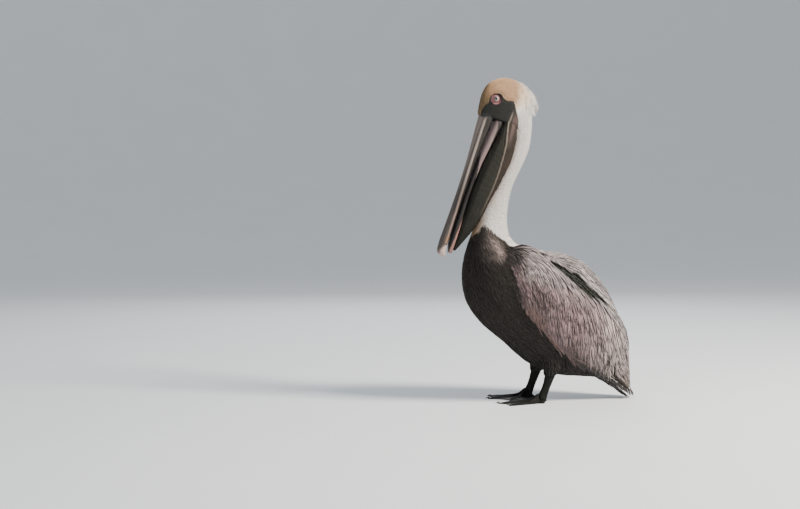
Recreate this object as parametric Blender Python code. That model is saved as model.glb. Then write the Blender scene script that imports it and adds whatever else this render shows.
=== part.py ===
"""Brown pelican, life size, standing at rest with its bill laid against its neck.

Metres, +Z up, floor at z = 0. The bill points to -Y and the bird's left side is +X. The bird is the
same on both sides of the plane x = 0. Every body part is a closed solid of its own; the outer form is
that of the plumage, and neighbours keep a gap of about a third of a millimetre.
"""

import math
from dataclasses import dataclass

import bmesh
import bpy
import numpy as np
from mathutils import Vector
from mathutils.bvhtree import BVHTree

# ---------------------------------------------------------------- driving dimensions
GAP = 0.0004  # clearance between neighbouring pieces
RING_POINTS = 20  # points round a body section
BILL_POINTS = 12  # points round a bill section
STEPS = 1  # rings between one named section and the next

BILL_LENGTH = 0.322  # forehead feathers to the tip of the nail
FOREHEAD = Vector((0.0, -0.1311, 0.6360))  # where the feathers meet the ridge of the bill
BILL_DROOP = math.radians(72.2)  # angle of the bill below the horizontal

EYE_CENTRE = Vector((0.0240, -0.0985, 0.6700))
EYE_RADIUS = 0.0083

STANCE = 0.050  # each foot's distance from the plane of symmetry
ANKLE = Vector((STANCE, -0.002, 0.014))
MIDDLE_TOE = 0.096
SOLE = 0.0  # level of the soles and the tail tip


@dataclass
class Section:
    """One section of a body: its two ends in the plane x = 0, as (y, z), and its half width."""

    upper: tuple
    lower: tuple
    half_width: float
    squareness: float = 2.1


# The head, in the bill's own frame: (height above the root of the bill, front, back, half width), with
# front and back measured square to the bill from its ridge line towards the nape.
HEAD = [
    (0.0000, -0.0030, 0.1225, 0.0265),
    (0.0120, -0.0045, 0.1215, 0.0295),
    (0.0280, -0.0062, 0.1180, 0.0325),
    (0.0450, -0.0068, 0.1145, 0.0345),
    (0.0600, -0.0045, 0.1120, 0.0345),
    (0.0740, 0.0012, 0.1050, 0.0320),
    (0.0860, 0.0135, 0.0900, 0.0265),
    (0.0940, 0.0270, 0.0740, 0.0180),
    (0.0972, 0.0420, 0.0600, 0.0080),
]

# The nape tuft, from its root to its tip: (y, z, half height, half width).
CREST = [
    (-0.0200, 0.6600, 0.0130, 0.0120),
    (-0.0080, 0.6580, 0.0110, 0.0095),
    (-0.0020, 0.6560, 0.0070, 0.0060),
    (0.0015, 0.6545, 0.0030, 0.0025),
]

# The line of flesh from the nape down the neck and along the trunk. A section's upper end lies on
# the nape and back, its lower end on the throat, breast and belly.
NECK_UPPER = [
    Section((-0.009, 0.628), (-0.054, 0.618), 0.0250),
    Section((-0.011, 0.599), (-0.058, 0.585), 0.0250),
    Section((-0.016, 0.562), (-0.067, 0.547), 0.0250),
    Section((-0.034, 0.521), (-0.085, 0.503), 0.0255),
    Section((-0.054, 0.481), (-0.105, 0.464), 0.0270),
]
NECK_LOWER = [
    NECK_UPPER[-1],
    Section((-0.064, 0.441), (-0.121, 0.433), 0.0300),
    Section((-0.068, 0.400), (-0.134, 0.402), 0.0370),
    Section((-0.061, 0.366), (-0.145, 0.371), 0.0500),
]
TRUNK = [
    NECK_LOWER[-1],
    Section((-0.041, 0.346), (-0.159, 0.327), 0.0690),
    Section((-0.005, 0.336), (-0.165, 0.277), 0.0860),
    Section((0.038, 0.325), (-0.155, 0.221), 0.0930, 2.2),
    Section((0.083, 0.310), (-0.122, 0.174), 0.0940, 2.2),
    Section((0.123, 0.279), (-0.074, 0.135), 0.0880, 2.2),
    Section((0.156, 0.238), (-0.021, 0.088), 0.0770),
    Section((0.180, 0.190), (0.042, 0.059), 0.0610),
    Section((0.193, 0.140), (0.094, 0.053), 0.0450),
    Section((0.197, 0.094), (0.135, 0.050), 0.0340),
]
# The saddle of long feathers over the back, whose sections are read round their upper ends only.
MANTLE = [
    Section((-0.032, 0.345), (-0.161, 0.320), 0.0750),
    Section((-0.003, 0.337), (-0.164, 0.274), 0.0880),
    Section((0.041, 0.331), (-0.155, 0.221), 0.0960, 2.2),
    Section((0.089, 0.319), (-0.122, 0.174), 0.0970, 2.2),
    Section((0.131, 0.288), (-0.074, 0.135), 0.0910, 2.2),
    Section((0.165, 0.246), (-0.021, 0.088), 0.0800),
    Section((0.190, 0.196), (0.042, 0.059), 0.0640),
    Section((0.200, 0.166), (0.070, 0.056), 0.0540),
]
MANTLE_SPREAD = math.radians(58)  # how far round its section the saddle reaches at its widest
MANTLE_DEPTH = 0.024  # thickness before the body is cut away from beneath it
MANTLE_ACROSS = 10
TAIL = [
    Section((0.185, 0.093), (0.139, 0.050), 0.0300, 2.6),
    Section((0.196, 0.066), (0.164, 0.041), 0.0350, 3.0),
    Section((0.211, 0.038), (0.191, 0.023), 0.0370, 3.4),
    Section((0.229, 0.011), (0.217, 0.002), 0.0340, 3.0),
    Section((0.231, 0.006), (0.227, 0.001), 0.0230, 2.4),
]


@dataclass
class WingSection:
    """One section of a folded wing: its upper edge, middle and lower edge, each as (x, y, z)."""

    upper: tuple
    middle_x: float
    lower: tuple


WING = [
    WingSection((0.060, -0.083, 0.344), 0.072, (0.066, -0.099, 0.328)),
    WingSection((0.067, -0.047, 0.351), 0.090, (0.080, -0.096, 0.290)),
    WingSection((0.074, 0.005, 0.330), 0.104, (0.092, -0.067, 0.232)),
    WingSection((0.081, 0.057, 0.292), 0.108, (0.094, -0.021, 0.180)),
    WingSection((0.076, 0.102, 0.256), 0.101, (0.085, 0.034, 0.128)),
    WingSection((0.058, 0.150, 0.222), 0.086, (0.073, 0.085, 0.091)),
    WingSection((0.034, 0.191, 0.183), 0.064, (0.058, 0.129, 0.062)),
    WingSection((0.018, 0.215, 0.138), 0.045, (0.044, 0.166, 0.040)),
    WingSection((0.013, 0.220, 0.078), 0.031, (0.031, 0.194, 0.021)),
    WingSection((0.012, 0.224, 0.024), 0.019, (0.020, 0.216, 0.012)),
]
WING_TIP_FROM = 6  # place along WING where the flight feathers' tips begin
WING_ACROSS = 6  # grid steps from the upper to the lower edge
WING_INNER_EDGE = 0.0012  # least distance of a wing from the plane of symmetry
WING_THICKNESS = 0.022  # greatest thickness at the shoulder, from where it grows backwards
WING_SUNK = 0.004  # how far the inner face is modelled into the body before it is cut back


# ---------------------------------------------------------------- helpers
def clear_scene():
    """Remove everything that the startup file holds."""
    for obj in list(bpy.data.objects):
        bpy.data.objects.remove(obj, do_unlink=True)


def material(name, colour, roughness, metallic=0.0):
    """A Principled material of one colour."""
    mat = bpy.data.materials.new(name)
    mat.use_nodes = True
    shader = mat.node_tree.nodes["Principled BSDF"]
    shader.inputs["Base Color"].default_value = (*colour, 1.0)
    shader.inputs["Roughness"].default_value = roughness
    shader.inputs["Metallic"].default_value = metallic
    mat.diffuse_color = (*colour, 1.0)
    return mat


def add_object(name, bm, mat, smooth=True):
    """Link a bmesh to the scene as a named object of triangles with one material."""
    bmesh.ops.triangulate(bm, faces=bm.faces)
    bmesh.ops.recalc_face_normals(bm, faces=bm.faces)
    mesh = bpy.data.meshes.new(name)
    bm.to_mesh(mesh)
    bm.free()
    obj = bpy.data.objects.new(name, mesh)
    bpy.context.scene.collection.objects.link(obj)
    mesh.materials.append(mat)
    if smooth:
        mesh.shade_smooth()
        mesh.set_sharp_from_angle(angle=math.radians(45))
    return obj


def spline(values, t):
    """Catmull-Rom value at t, where whole numbers are the entries of values."""
    values = np.asarray(values, float)
    last = len(values) - 1
    i = min(int(t), last - 1)
    u = t - i
    before = values[i - 1] if i > 0 else 2 * values[0] - values[1]
    after = values[i + 2] if i + 2 <= last else 2 * values[last] - values[last - 1]
    a, b = values[i], values[i + 1]
    return 0.5 * (
        2 * a
        + (b - before) * u
        + (2 * before - 5 * a + 4 * b - after) * u**2
        + (3 * a - before - 3 * b + after) * u**3
    )


def superellipse(angle, squareness):
    """Point of a unit superellipse: cosine along, sine across."""
    c, s = math.cos(angle), math.sin(angle)
    power = 2.0 / squareness
    return math.copysign(abs(c) ** power, c), math.copysign(abs(s) ** power, s)


def section_ring(upper, lower, half_width, squareness, count):
    """Points round a section that stands across the plane x = 0."""
    top, bottom = Vector((0, *upper)), Vector((0, *lower))
    centre, half = (top + bottom) / 2, (top - bottom) / 2
    ring = []
    for k in range(count):
        along, across = superellipse(2 * math.pi * k / count, squareness)
        ring.append(centre + half * along + Vector((half_width * across, 0, 0)))
    return ring


def loft(rings):
    """A closed bmesh: loops of equal count bridged one to the next, with a cap on each end."""
    bm = bmesh.new()
    loops = []
    for ring in rings:
        verts = [bm.verts.new(p) for p in ring]
        loops.append([bm.edges.new((a, b)) for a, b in zip(verts, verts[1:] + verts[:1])])
    for a, b in zip(loops, loops[1:]):
        bmesh.ops.bridge_loops(bm, edges=a + b)
    for end in (loops[0], loops[-1]):
        bmesh.ops.contextual_create(bm, geom=end)
    return bm


def shell(outer, inner):
    """A closed bmesh between two grids of points: a sheet on the outer one, extruded to the inner."""
    rows, across = len(outer) - 1, len(outer[0]) - 1
    bm = bmesh.new()
    sheet = bmesh.ops.create_grid(bm, x_segments=across, y_segments=rows, size=1.0)["verts"]
    for index, vert in enumerate(sheet):
        vert.co = (index % (across + 1), index // (across + 1), 0)
    extruded = bmesh.ops.extrude_face_region(bm, geom=bm.faces[:])["geom"]
    back = {v for v in extruded if isinstance(v, bmesh.types.BMVert)}
    for vert in bm.verts:
        grid = inner if vert in back else outer
        vert.co = grid[round(vert.co.y)][round(vert.co.x)]
    return bm


def rings_along(sections, line, count=RING_POINTS, pull_first=0.0, pull_last=0.0):
    """Rings for sections, read from the smooth curve through the whole line that holds them.

    pull_first and pull_last move the end rings into the piece, to leave a gap to the next one.
    """
    start = line.index(sections[0])
    table = np.array([[*s.upper, *s.lower, s.half_width, s.squareness] for s in line])
    rings = []
    total = (len(sections) - 1) * (STEPS + 1)
    for k in range(total + 1):
        v = spline(table, start + k / (STEPS + 1))
        rings.append(section_ring(v[0:2], v[2:4], v[4], v[5], count))
    for end, near, pull in ((0, 1, pull_first), (-1, -2, pull_last)):
        if pull:
            a, b = np.mean(rings[end], axis=0), np.mean(rings[near], axis=0)
            normal = (rings[end][1] - rings[end][0]).cross(rings[end][count // 3] - rings[end][0])
            normal.normalize()
            if normal.dot(Vector(b - a)) < 0:
                normal.negate()
            rings[end] = [p + normal * pull for p in rings[end]]
    return rings


def swollen_copy(obj, amount):
    """A hidden cutter: obj with every vertex moved out along its normal."""
    bm = bmesh.new()
    bm.from_mesh(obj.evaluated_get(bpy.context.evaluated_depsgraph_get()).to_mesh())
    bm.normal_update()
    moves = [v.normal * amount * min(v.calc_shell_factor(), 3.0) for v in bm.verts]
    for v, move in zip(bm.verts, moves):
        v.co += move
    mesh = bpy.data.meshes.new(obj.name + "_clearance")
    bm.to_mesh(mesh)
    bm.free()
    cutter = bpy.data.objects.new(obj.name + "_clearance", mesh)
    bpy.context.scene.collection.objects.link(cutter)
    cutter.hide_render = True
    cutter.display_type = "WIRE"
    return cutter


def cut_clear_of(obj, cutters):
    """Cut obj back from each cutter."""
    for cutter in cutters:
        cut = obj.modifiers.new("clear_of_" + cutter.name, "BOOLEAN")
        cut.operation = "DIFFERENCE"
        cut.solver = "EXACT"
        cut.object = cutter


# ---------------------------------------------------------------- flesh
def build_flesh(mats):
    """Neck and trunk, parted from one smooth line by thin cuts. Returns them by name."""
    line = NECK_UPPER + NECK_LOWER[1:] + TRUNK[1:]
    half_gap = GAP / 2
    parts = {}
    for name, sections, mat, first, last in (
        ("neck_upper", NECK_UPPER, mats["neck"], 0.0, half_gap),
        ("neck_lower", NECK_LOWER, mats["neck"], half_gap, half_gap),
        ("trunk", TRUNK, mats["breast"], half_gap, 0.0),
    ):
        rings = rings_along(sections, line, pull_first=first, pull_last=last)
        parts[name] = add_object(name, loft(rings), mat)
    return parts


def build_tail(mats):
    """The closed fan of tail feathers, its tip laid on the floor."""
    rings = rings_along(TAIL, TAIL, count=14)
    for ring in rings:
        for p in ring:
            p.z = max(p.z, SOLE)
    return add_object("tail", loft(rings), mats["flight"])


def build_wing(name, side, first, last, trunk_tree, mat):
    """A length of a folded wing: a shell on the flank, which closes over the rump behind.

    side is 1 for the left wing and -1 for the right one; first and last are places along WING.
    """
    table = np.array([[*w.upper, w.middle_x, *w.lower] for w in WING])
    count = round((last - first) * (STEPS + 1))
    outer, inner = [], []
    for k in range(count + 1):
        place = first + (last - first) * k / count
        v = spline(table, place)
        thickness = WING_THICKNESS * (1 + 0.3 * place)
        upper, mid_x, lower = v[0:3], v[3], v[4:7]
        out_row, in_row = [], []
        for j in range(WING_ACROSS + 1):
            t = j / WING_ACROSS
            y, z = upper[1:] + (lower[1:] - upper[1:]) * t
            bulge = 4 * t * (1 - t)
            x = upper[0] + (lower[0] - upper[0]) * t
            x += (mid_x - (upper[0] + lower[0]) / 2) * bulge
            hit = trunk_tree.ray_cast(Vector((0.4, y, z)), Vector((-1, 0, 0)))[0]
            skin = hit.x - WING_SUNK if hit else 0.0
            x = max(x, skin + WING_SUNK + 0.003)
            deepest = max(skin, WING_INNER_EDGE, x - thickness)
            out_row.append(Vector((side * x, y, z)))
            in_row.append(Vector((side * min(deepest, x - 0.0025), y, z)))
        outer.append(out_row)
        inner.append(in_row)
    return add_object(name, shell(outer, inner), mat)


def build_mantle(mat):
    """The saddle over the back: a shell that thins towards its edges."""
    table = np.array([[*s.upper, *s.lower, s.half_width, s.squareness] for s in MANTLE])
    count = (len(MANTLE) - 1) * (STEPS + 1)
    outer, inner = [], []
    for k in range(count + 1):
        v = spline(table, k / (STEPS + 1))
        top, bottom = Vector((0, v[0], v[1])), Vector((0, v[2], v[3]))
        centre, half = (top + bottom) / 2, (top - bottom) / 2
        spread = MANTLE_SPREAD * min(1.0, 0.80 + 0.20 * k) * (1 - 0.45 * (k / count) ** 3)
        out_row, in_row = [], []
        for j in range(MANTLE_ACROSS + 1):
            share = 2 * j / MANTLE_ACROSS - 1
            along, across = superellipse(spread * share, v[5])
            out = centre + half * along + Vector((v[4] * across, 0, 0))
            depth = MANTLE_DEPTH * (1 - 0.55 * share**4)
            out_row.append(out)
            in_row.append(out + (centre - out).normalized() * depth)
        outer.append(out_row)
        inner.append(in_row)
    return add_object("mantle", shell(outer, inner), mat)


# ---------------------------------------------------------------- bill
def bill_point(along, out, x=0.0):
    """A point in the bill's own frame: along it from the forehead, and out from its ridge line."""
    axis = Vector((0, -math.cos(BILL_DROOP), -math.sin(BILL_DROOP)))
    outward = Vector((0, -math.sin(BILL_DROOP), math.cos(BILL_DROOP)))
    return FOREHEAD + axis * along + outward * out + Vector((x, 0, 0))


# Each row is (distance along the bill, outer edge, inner edge, half width), measured in the bill's
# frame; edges are negative towards the neck.
UPPER_MANDIBLE = [
    (-0.012, -0.001, -0.036, 0.0240),
    (0.030, -0.0028, -0.031, 0.0215),
    (0.100, -0.0055, -0.024, 0.0175),
    (0.180, -0.0055, -0.021, 0.0165),
    (0.250, -0.0030, -0.019, 0.0175),
    (0.282, -0.0010, -0.018, 0.0165),
    (0.296, -0.0008, -0.018, 0.0140),
]
NAIL = [
    (0.2963, -0.0006, -0.0185, 0.0140),
    (0.3040, -0.0005, -0.0190, 0.0122),
    (0.3120, -0.0015, -0.0205, 0.0100),
    (0.3180, -0.0050, -0.0235, 0.0070),
    (BILL_LENGTH, -0.0110, -0.0255, 0.0030),
]
LOWER_MANDIBLE = [
    (-0.012, -0.0370, -0.060, 0.0250),
    (0.030, -0.0320, -0.052, 0.0235),
    (0.100, -0.0250, -0.038, 0.0200),
    (0.180, -0.0220, -0.033, 0.0185),
    (0.250, -0.0205, -0.034, 0.0170),
    (0.290, -0.0215, -0.034, 0.0130),
    (0.310, -0.0270, -0.034, 0.0060),
]
POUCH = [
    (-0.010, -0.052, -0.090, 0.0275),
    (0.030, -0.049, -0.100, 0.0310),
    (0.078, -0.040, -0.103, 0.0330),
    (0.118, -0.035, -0.096, 0.0330),
    (0.160, -0.033, -0.086, 0.0310),
    (0.200, -0.033, -0.078, 0.0270),
    (0.240, -0.033, -0.067, 0.0220),
    (0.280, -0.034, -0.050, 0.0150),
    (0.302, -0.033, -0.040, 0.0080),
]


def build_on_bill(name, rows, squareness, mat, count=BILL_POINTS, steps=STEPS):
    """A loft through rows that are square to the bill: a length of the bill, or the head."""
    table = np.array(rows)
    rings = []
    total = (len(rows) - 1) * (steps + 1)
    for k in range(total + 1):
        along, out, inn, half_width = spline(table, k / (steps + 1))
        ring = []
        for i in range(count):
            c, s = superellipse(2 * math.pi * i / count, squareness)
            ring.append(bill_point(along, (out + inn) / 2 + (out - inn) / 2 * c, half_width * s))
        rings.append(ring)
    return add_object(name, loft(rings), mat)


def build_head(mat):
    """The head, from the flat root that caps bill and neck up to the crown."""
    rows = [(-height, -front, -back, half) for height, front, back, half in HEAD]
    return build_on_bill("head", rows, 2.2, mat, count=RING_POINTS)


def build_crest(mat):
    """The short tuft that stands off the nape."""
    rings = []
    for y, z, half_height, half_width in CREST:
        ring = []
        for i in range(10):
            c, s = superellipse(2 * math.pi * i / 10, 2.0)
            ring.append(Vector((half_width * s, y, z + half_height * c)))
        rings.append(ring)
    return add_object("crest", loft(rings), mat)


# ---------------------------------------------------------------- eyes
def build_eye(side, mat):
    """An eyeball, sunk in the head up to its rim."""
    bm = bmesh.new()
    bmesh.ops.create_uvsphere(bm, u_segments=12, v_segments=8, radius=EYE_RADIUS)
    centre = Vector((side * EYE_CENTRE.x, EYE_CENTRE.y, EYE_CENTRE.z))
    bmesh.ops.translate(bm, verts=bm.verts, vec=centre)
    return add_object("eye_left" if side > 0 else "eye_right", bm, mat)


# ---------------------------------------------------------------- legs and feet
@dataclass
class Toe:
    """A toe: its bearing from straight ahead (positive outwards), length, and root thickness."""

    bearing: float
    length: float
    thickness: float


TOES = [
    Toe(math.radians(-128), 0.045, 0.0075),
    Toe(math.radians(-38), 0.074, 0.0085),
    Toe(math.radians(-6), MIDDLE_TOE, 0.0095),
    Toe(math.radians(22), 0.091, 0.0085),
]
WEB_THICKNESS = 0.0022
HEEL_RADIUS = 0.010
FOOT_RINGS = (0.06, 0.16, 0.40, 0.70, 1.0)  # shares of the way from the ankle to the foot's edge


def foot_reach(bearing):
    """Length of the webbed foot in a direction: toe tips with hollow web edges between them."""
    for a, b in zip(TOES, TOES[1:]):
        if a.bearing <= bearing <= b.bearing:
            u = (bearing - a.bearing) / (b.bearing - a.bearing)
            straight = a.length + (b.length - a.length) * u
            hollow = 0.42 if a is TOES[0] else 0.16
            near_toe = 1 - (2 * abs(u - 0.5)) ** 2.6
            return straight * (1 - hollow * near_toe)
    return HEEL_RADIUS


def foot_height(bearing, share):
    """Height of the foot's upper face: toes are ridges on the thin web, and rise to the ankle."""
    reach = foot_reach(bearing) * share
    height = WEB_THICKNESS
    for toe in TOES:
        if abs(bearing - toe.bearing) < math.pi / 2:
            offset = reach * math.sin(abs(bearing - toe.bearing))
            width = toe.thickness * (0.75 - 0.25 * share)
            ridge = toe.thickness * (1 - 0.45 * share) * math.exp(-((offset / width) ** 2))
            height = max(height, ridge)
    return height + 0.010 * max(0.0, 1 - share / 0.30)


def build_foot(side, mat):
    """A flat webbed foot with all its toes joined."""
    bearings = []
    for a, b in zip(TOES, TOES[1:]):
        steps = 8 if a is TOES[0] else 6
        bearings += [a.bearing + (b.bearing - a.bearing) * i / steps for i in range(steps)]
    bearings.append(TOES[-1].bearing)
    heel_turn = 2 * math.pi - (TOES[-1].bearing - TOES[0].bearing)
    around = 6
    bearings += [TOES[-1].bearing + heel_turn * i / around for i in range(1, around)]
    tops, soles = [], []
    for share in FOOT_RINGS:
        top, sole = [], []
        for bearing in bearings:
            reach = foot_reach(bearing) * share
            x = ANKLE.x + reach * math.sin(bearing)
            y = ANKLE.y - reach * math.cos(bearing)
            height = foot_height(bearing, share)
            if share == 1.0:
                height = max(WEB_THICKNESS * 0.6, height * 0.55)
            top.append(Vector((side * x, y, SOLE + height)))
            sole.append(Vector((side * x, y, SOLE)))
        tops.append(top)
        soles.append(sole)
    bm = loft(tops + soles[::-1])
    return add_object("foot_left" if side > 0 else "foot_right", bm, mat)


# Rows from the body down to the ankle: (x, y, z, half depth, half breadth). The thigh is feathered.
THIGH = [
    (0.046, 0.036, 0.120, 0.0260, 0.0210),
    (0.047, 0.030, 0.090, 0.0240, 0.0190),
    (0.049, 0.023, 0.070, 0.0180, 0.0140),
    (0.0495, 0.020, 0.060, 0.0140, 0.0105),
]
SHANK = [
    (0.0495, 0.0200, 0.0597, 0.0125, 0.0085),
    (0.050, 0.0150, 0.0450, 0.0105, 0.0070),
    (0.050, 0.0100, 0.0320, 0.0100, 0.0068),
    (0.050, 0.0030, 0.0160, 0.0105, 0.0072),
    (0.050, 0.0000, 0.0080, 0.0115, 0.0090),
]


def build_limb(name, side, rows, mat):
    """A length of leg: an oval tube through its rows."""
    rings = []
    for x, y, z, depth, breadth in rows:
        ring = []
        for i in range(12):
            c, s = superellipse(2 * math.pi * i / 12, 2.0)
            ring.append(Vector((side * (x + breadth * s), y + depth * c, z)))
        rings.append(ring)
    return add_object(name, loft(rings), mat)


# ---------------------------------------------------------------- the whole bird
def main():
    """Build every piece, then cut each back from the ones that it lies against."""
    clear_scene()
    mats = {
        "crown": material("crown_feathers", (0.42, 0.29, 0.17), 0.8),
        "neck": material("neck_feathers", (0.72, 0.66, 0.58), 0.8),
        "breast": material("breast_feathers", (0.035, 0.028, 0.022), 0.75),
        "covert": material("wing_coverts", (0.28, 0.24, 0.24), 0.7),
        "flight": material("flight_feathers", (0.08, 0.065, 0.055), 0.6),
        "horn": material("bill_horn", (0.16, 0.13, 0.11), 0.45),
        "nail": material("bill_nail", (0.45, 0.35, 0.27), 0.4),
        "skin": material("pouch_skin", (0.035, 0.032, 0.028), 0.5),
        "eye": material("eye", (0.55, 0.50, 0.42), 0.1),
        "leg": material("leg_skin", (0.035, 0.034, 0.032), 0.5),
    }
    flesh = build_flesh(mats)
    trunk_mesh = flesh["trunk"].data
    tree = BVHTree.FromPolygons(
        [v.co for v in trunk_mesh.vertices], [list(p.vertices) for p in trunk_mesh.polygons]
    )
    head = build_head(mats["crown"])
    crest = build_crest(mats["neck"])
    tail = build_tail(mats)
    mantle = build_mantle(mats["covert"])
    upper = build_on_bill("bill_upper", UPPER_MANDIBLE, 2.6, mats["horn"])
    build_on_bill("bill_nail", NAIL, 2.4, mats["nail"], steps=0)
    lower = build_on_bill("bill_lower", LOWER_MANDIBLE, 2.8, mats["horn"])
    pouch = build_on_bill("pouch", POUCH, 2.8, mats["skin"])

    near = {name: swollen_copy(obj, GAP) for name, obj in flesh.items()}
    near["head"] = swollen_copy(head, GAP)
    cut_clear_of(flesh["neck_upper"], [near["head"]])
    cut_clear_of(crest, [near["head"]])
    cut_clear_of(tail, [near["trunk"]])
    near_tail = swollen_copy(tail, GAP)
    cut_clear_of(mantle, [near["trunk"], near["neck_lower"]])
    near_mantle = swollen_copy(mantle, GAP)
    cut_clear_of(upper, [near["head"]])
    near_upper = swollen_copy(upper, GAP)
    cut_clear_of(lower, [near["head"], near_upper])
    near_lower = swollen_copy(lower, GAP)
    body = [near["head"], near["neck_upper"], near["neck_lower"], near["trunk"]]
    cut_clear_of(pouch, [*body, near_lower, near_upper])

    for side, name in ((1, "left"), (-1, "right")):
        beside = [near["trunk"], near["neck_lower"], near_mantle, near_tail]
        wing = build_wing("wing_" + name, side, 0, WING_TIP_FROM, tree, mats["covert"])
        cut_clear_of(wing, beside)
        tip = build_wing(
            "wing_tip_" + name, side, WING_TIP_FROM + 0.02, len(WING) - 1, tree, mats["flight"]
        )
        cut_clear_of(tip, beside)
        eye = build_eye(side, mats["eye"])
        cut_clear_of(head, [swollen_copy(eye, GAP)])
        thigh = build_limb("thigh_" + name, side, THIGH, mats["breast"])
        cut_clear_of(thigh, [near["trunk"]])
        shank = build_limb("shank_" + name, side, SHANK, mats["leg"])
        foot = build_foot(side, mats["leg"])
        cut_clear_of(shank, [swollen_copy(foot, GAP)])


main()
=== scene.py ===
"""A brown pelican at rest, life size: skin, plumage, bill, pouch, eyes and feet over the packed solids.

Metres, +Z up, floor at z = 0. The bill points to -Y and the bird's left side is +X.
"""

import logging
import math
from dataclasses import dataclass
from enum import Enum

import bmesh
import bpy
import numpy as np
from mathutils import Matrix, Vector
from mathutils.bvhtree import BVHTree


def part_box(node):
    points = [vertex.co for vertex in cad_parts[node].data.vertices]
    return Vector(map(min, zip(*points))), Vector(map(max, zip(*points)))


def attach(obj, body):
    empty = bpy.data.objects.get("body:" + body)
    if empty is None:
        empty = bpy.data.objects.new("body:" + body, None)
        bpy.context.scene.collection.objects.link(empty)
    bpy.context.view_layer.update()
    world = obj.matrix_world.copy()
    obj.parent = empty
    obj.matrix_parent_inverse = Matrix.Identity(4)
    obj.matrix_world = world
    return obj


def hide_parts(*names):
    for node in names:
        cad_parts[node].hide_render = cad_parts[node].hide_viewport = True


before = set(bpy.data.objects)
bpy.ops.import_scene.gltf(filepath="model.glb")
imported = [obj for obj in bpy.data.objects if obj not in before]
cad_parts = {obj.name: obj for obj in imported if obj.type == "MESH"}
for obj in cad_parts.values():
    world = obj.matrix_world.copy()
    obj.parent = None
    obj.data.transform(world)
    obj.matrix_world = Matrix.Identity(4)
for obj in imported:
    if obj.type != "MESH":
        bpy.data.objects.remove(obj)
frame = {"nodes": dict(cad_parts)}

LOG = logging.getLogger("pelican")
BODY = "root"
BAKING_MAP = "OFBake"
PATCH = 0.003  # width of one small feather's place on the baking map
CELL_LENGTH = 0.9  # length of one large feather's place on the baking map
FLOOR_GAP = 0.0006  # least height of a feather over the floor
SCATTER = np.array([73856093, 19349663, 83492791])  # large odd numbers that tell lumps of noise apart


# ---------------------------------------------------------------- small sums on arrays
def unit(vectors: np.ndarray) -> np.ndarray:
    """Return the vectors at length one."""
    return vectors / np.maximum(np.linalg.norm(vectors, axis=-1, keepdims=True), 1e-9)


def dot(a: np.ndarray, b: np.ndarray) -> np.ndarray:
    """Return the row by row dot product, kept as a column."""
    return np.sum(a * b, axis=-1, keepdims=True)


def ease(low: float, high: float, x: np.ndarray) -> np.ndarray:
    """Return a smooth step from 0 at low to 1 at high."""
    t = np.clip((x - low) / (high - low), 0.0, 1.0)
    return t * t * (3 - 2 * t)


def bump_at(x: np.ndarray, centre: float, width: float) -> np.ndarray:
    """Return a soft hump of height one round a centre."""
    return np.exp(-(((x - centre) / width) ** 2))


def blend(a: np.ndarray, b: np.ndarray, share: np.ndarray) -> np.ndarray:
    """Mix two rows of values by a share for each row.

    Args:
        a: The first rows.
        b: The second rows, or one row.
        share: How much of the second each row takes.

    Returns:
        The mixed rows.
    """
    share = np.asarray(share)
    if share.ndim < np.ndim(a) or share.ndim < np.ndim(b):
        share = share[..., None]
    return a * (1 - share) + b * share


def painted(base: np.ndarray, *layers: tuple) -> np.ndarray:
    """Lay colours over a base, each as a pair of a colour and its share of every row."""
    for colour, share in layers:
        base = blend(base, colour, share)
    return base


def rows_of(colour: tuple | np.ndarray, count: int) -> np.ndarray:
    """Return the same colour for a number of rows."""
    return np.tile(colour, (count, 1))


def softened(rows: np.ndarray) -> np.ndarray:
    """Average each row with the rows before and after it, and leave the first and last."""
    rows[1:-1] = (rows[:-2] + 2 * rows[1:-1] + rows[2:]) / 4
    return rows


def softened_round(rings: np.ndarray) -> np.ndarray:
    """Average each corner with its neighbours round its ring."""
    return (np.roll(rings, 1, 1) + 2 * rings + np.roll(rings, -1, 1)) / 4


def full_turn(count: int) -> np.ndarray:
    """Return equal steps round a full turn, in radians."""
    return np.arange(count) * 2 * math.pi / count


def value_noise(points: np.ndarray, size: float, seed: int = 0) -> np.ndarray:
    """Return smooth noise from 0 to 1 at the points.

    Args:
        points: One row of x, y, z for each point.
        size: Width of one lump.
        seed: Which of the noises.

    Returns:
        One value for each point.
    """
    q = points / size + 517.0 + 31.7 * seed
    cell = np.floor(q).astype(np.int64)
    f = q - cell
    f = f * f * (3 - 2 * f)
    total = np.zeros(len(points))
    for corner in range(8):
        step = np.array([corner & 1, corner >> 1 & 1, corner >> 2 & 1])
        key = (cell + step) @ SCATTER + seed * 2654435
        key = ((key ^ (key >> 13)) * 1274126177) & 0x7FFFFFFF
        key = ((key ^ (key >> 16)) * 668265263) & 0x7FFFFFFF
        weight = np.prod(np.where(step == 1, f, 1 - f), axis=1)
        total += weight * (key & 0xFFFF) / 65535.0
    return total


# ---------------------------------------------------------------- meshes and operators
def pick(*objects: bpy.types.Object) -> None:
    """Select these objects alone and make the first of them active.

    Args:
        *objects: What to select.
    """
    bpy.ops.object.select_all(action="DESELECT")
    for obj in objects:
        obj.select_set(True)
    bpy.context.view_layer.objects.active = objects[0]


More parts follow.
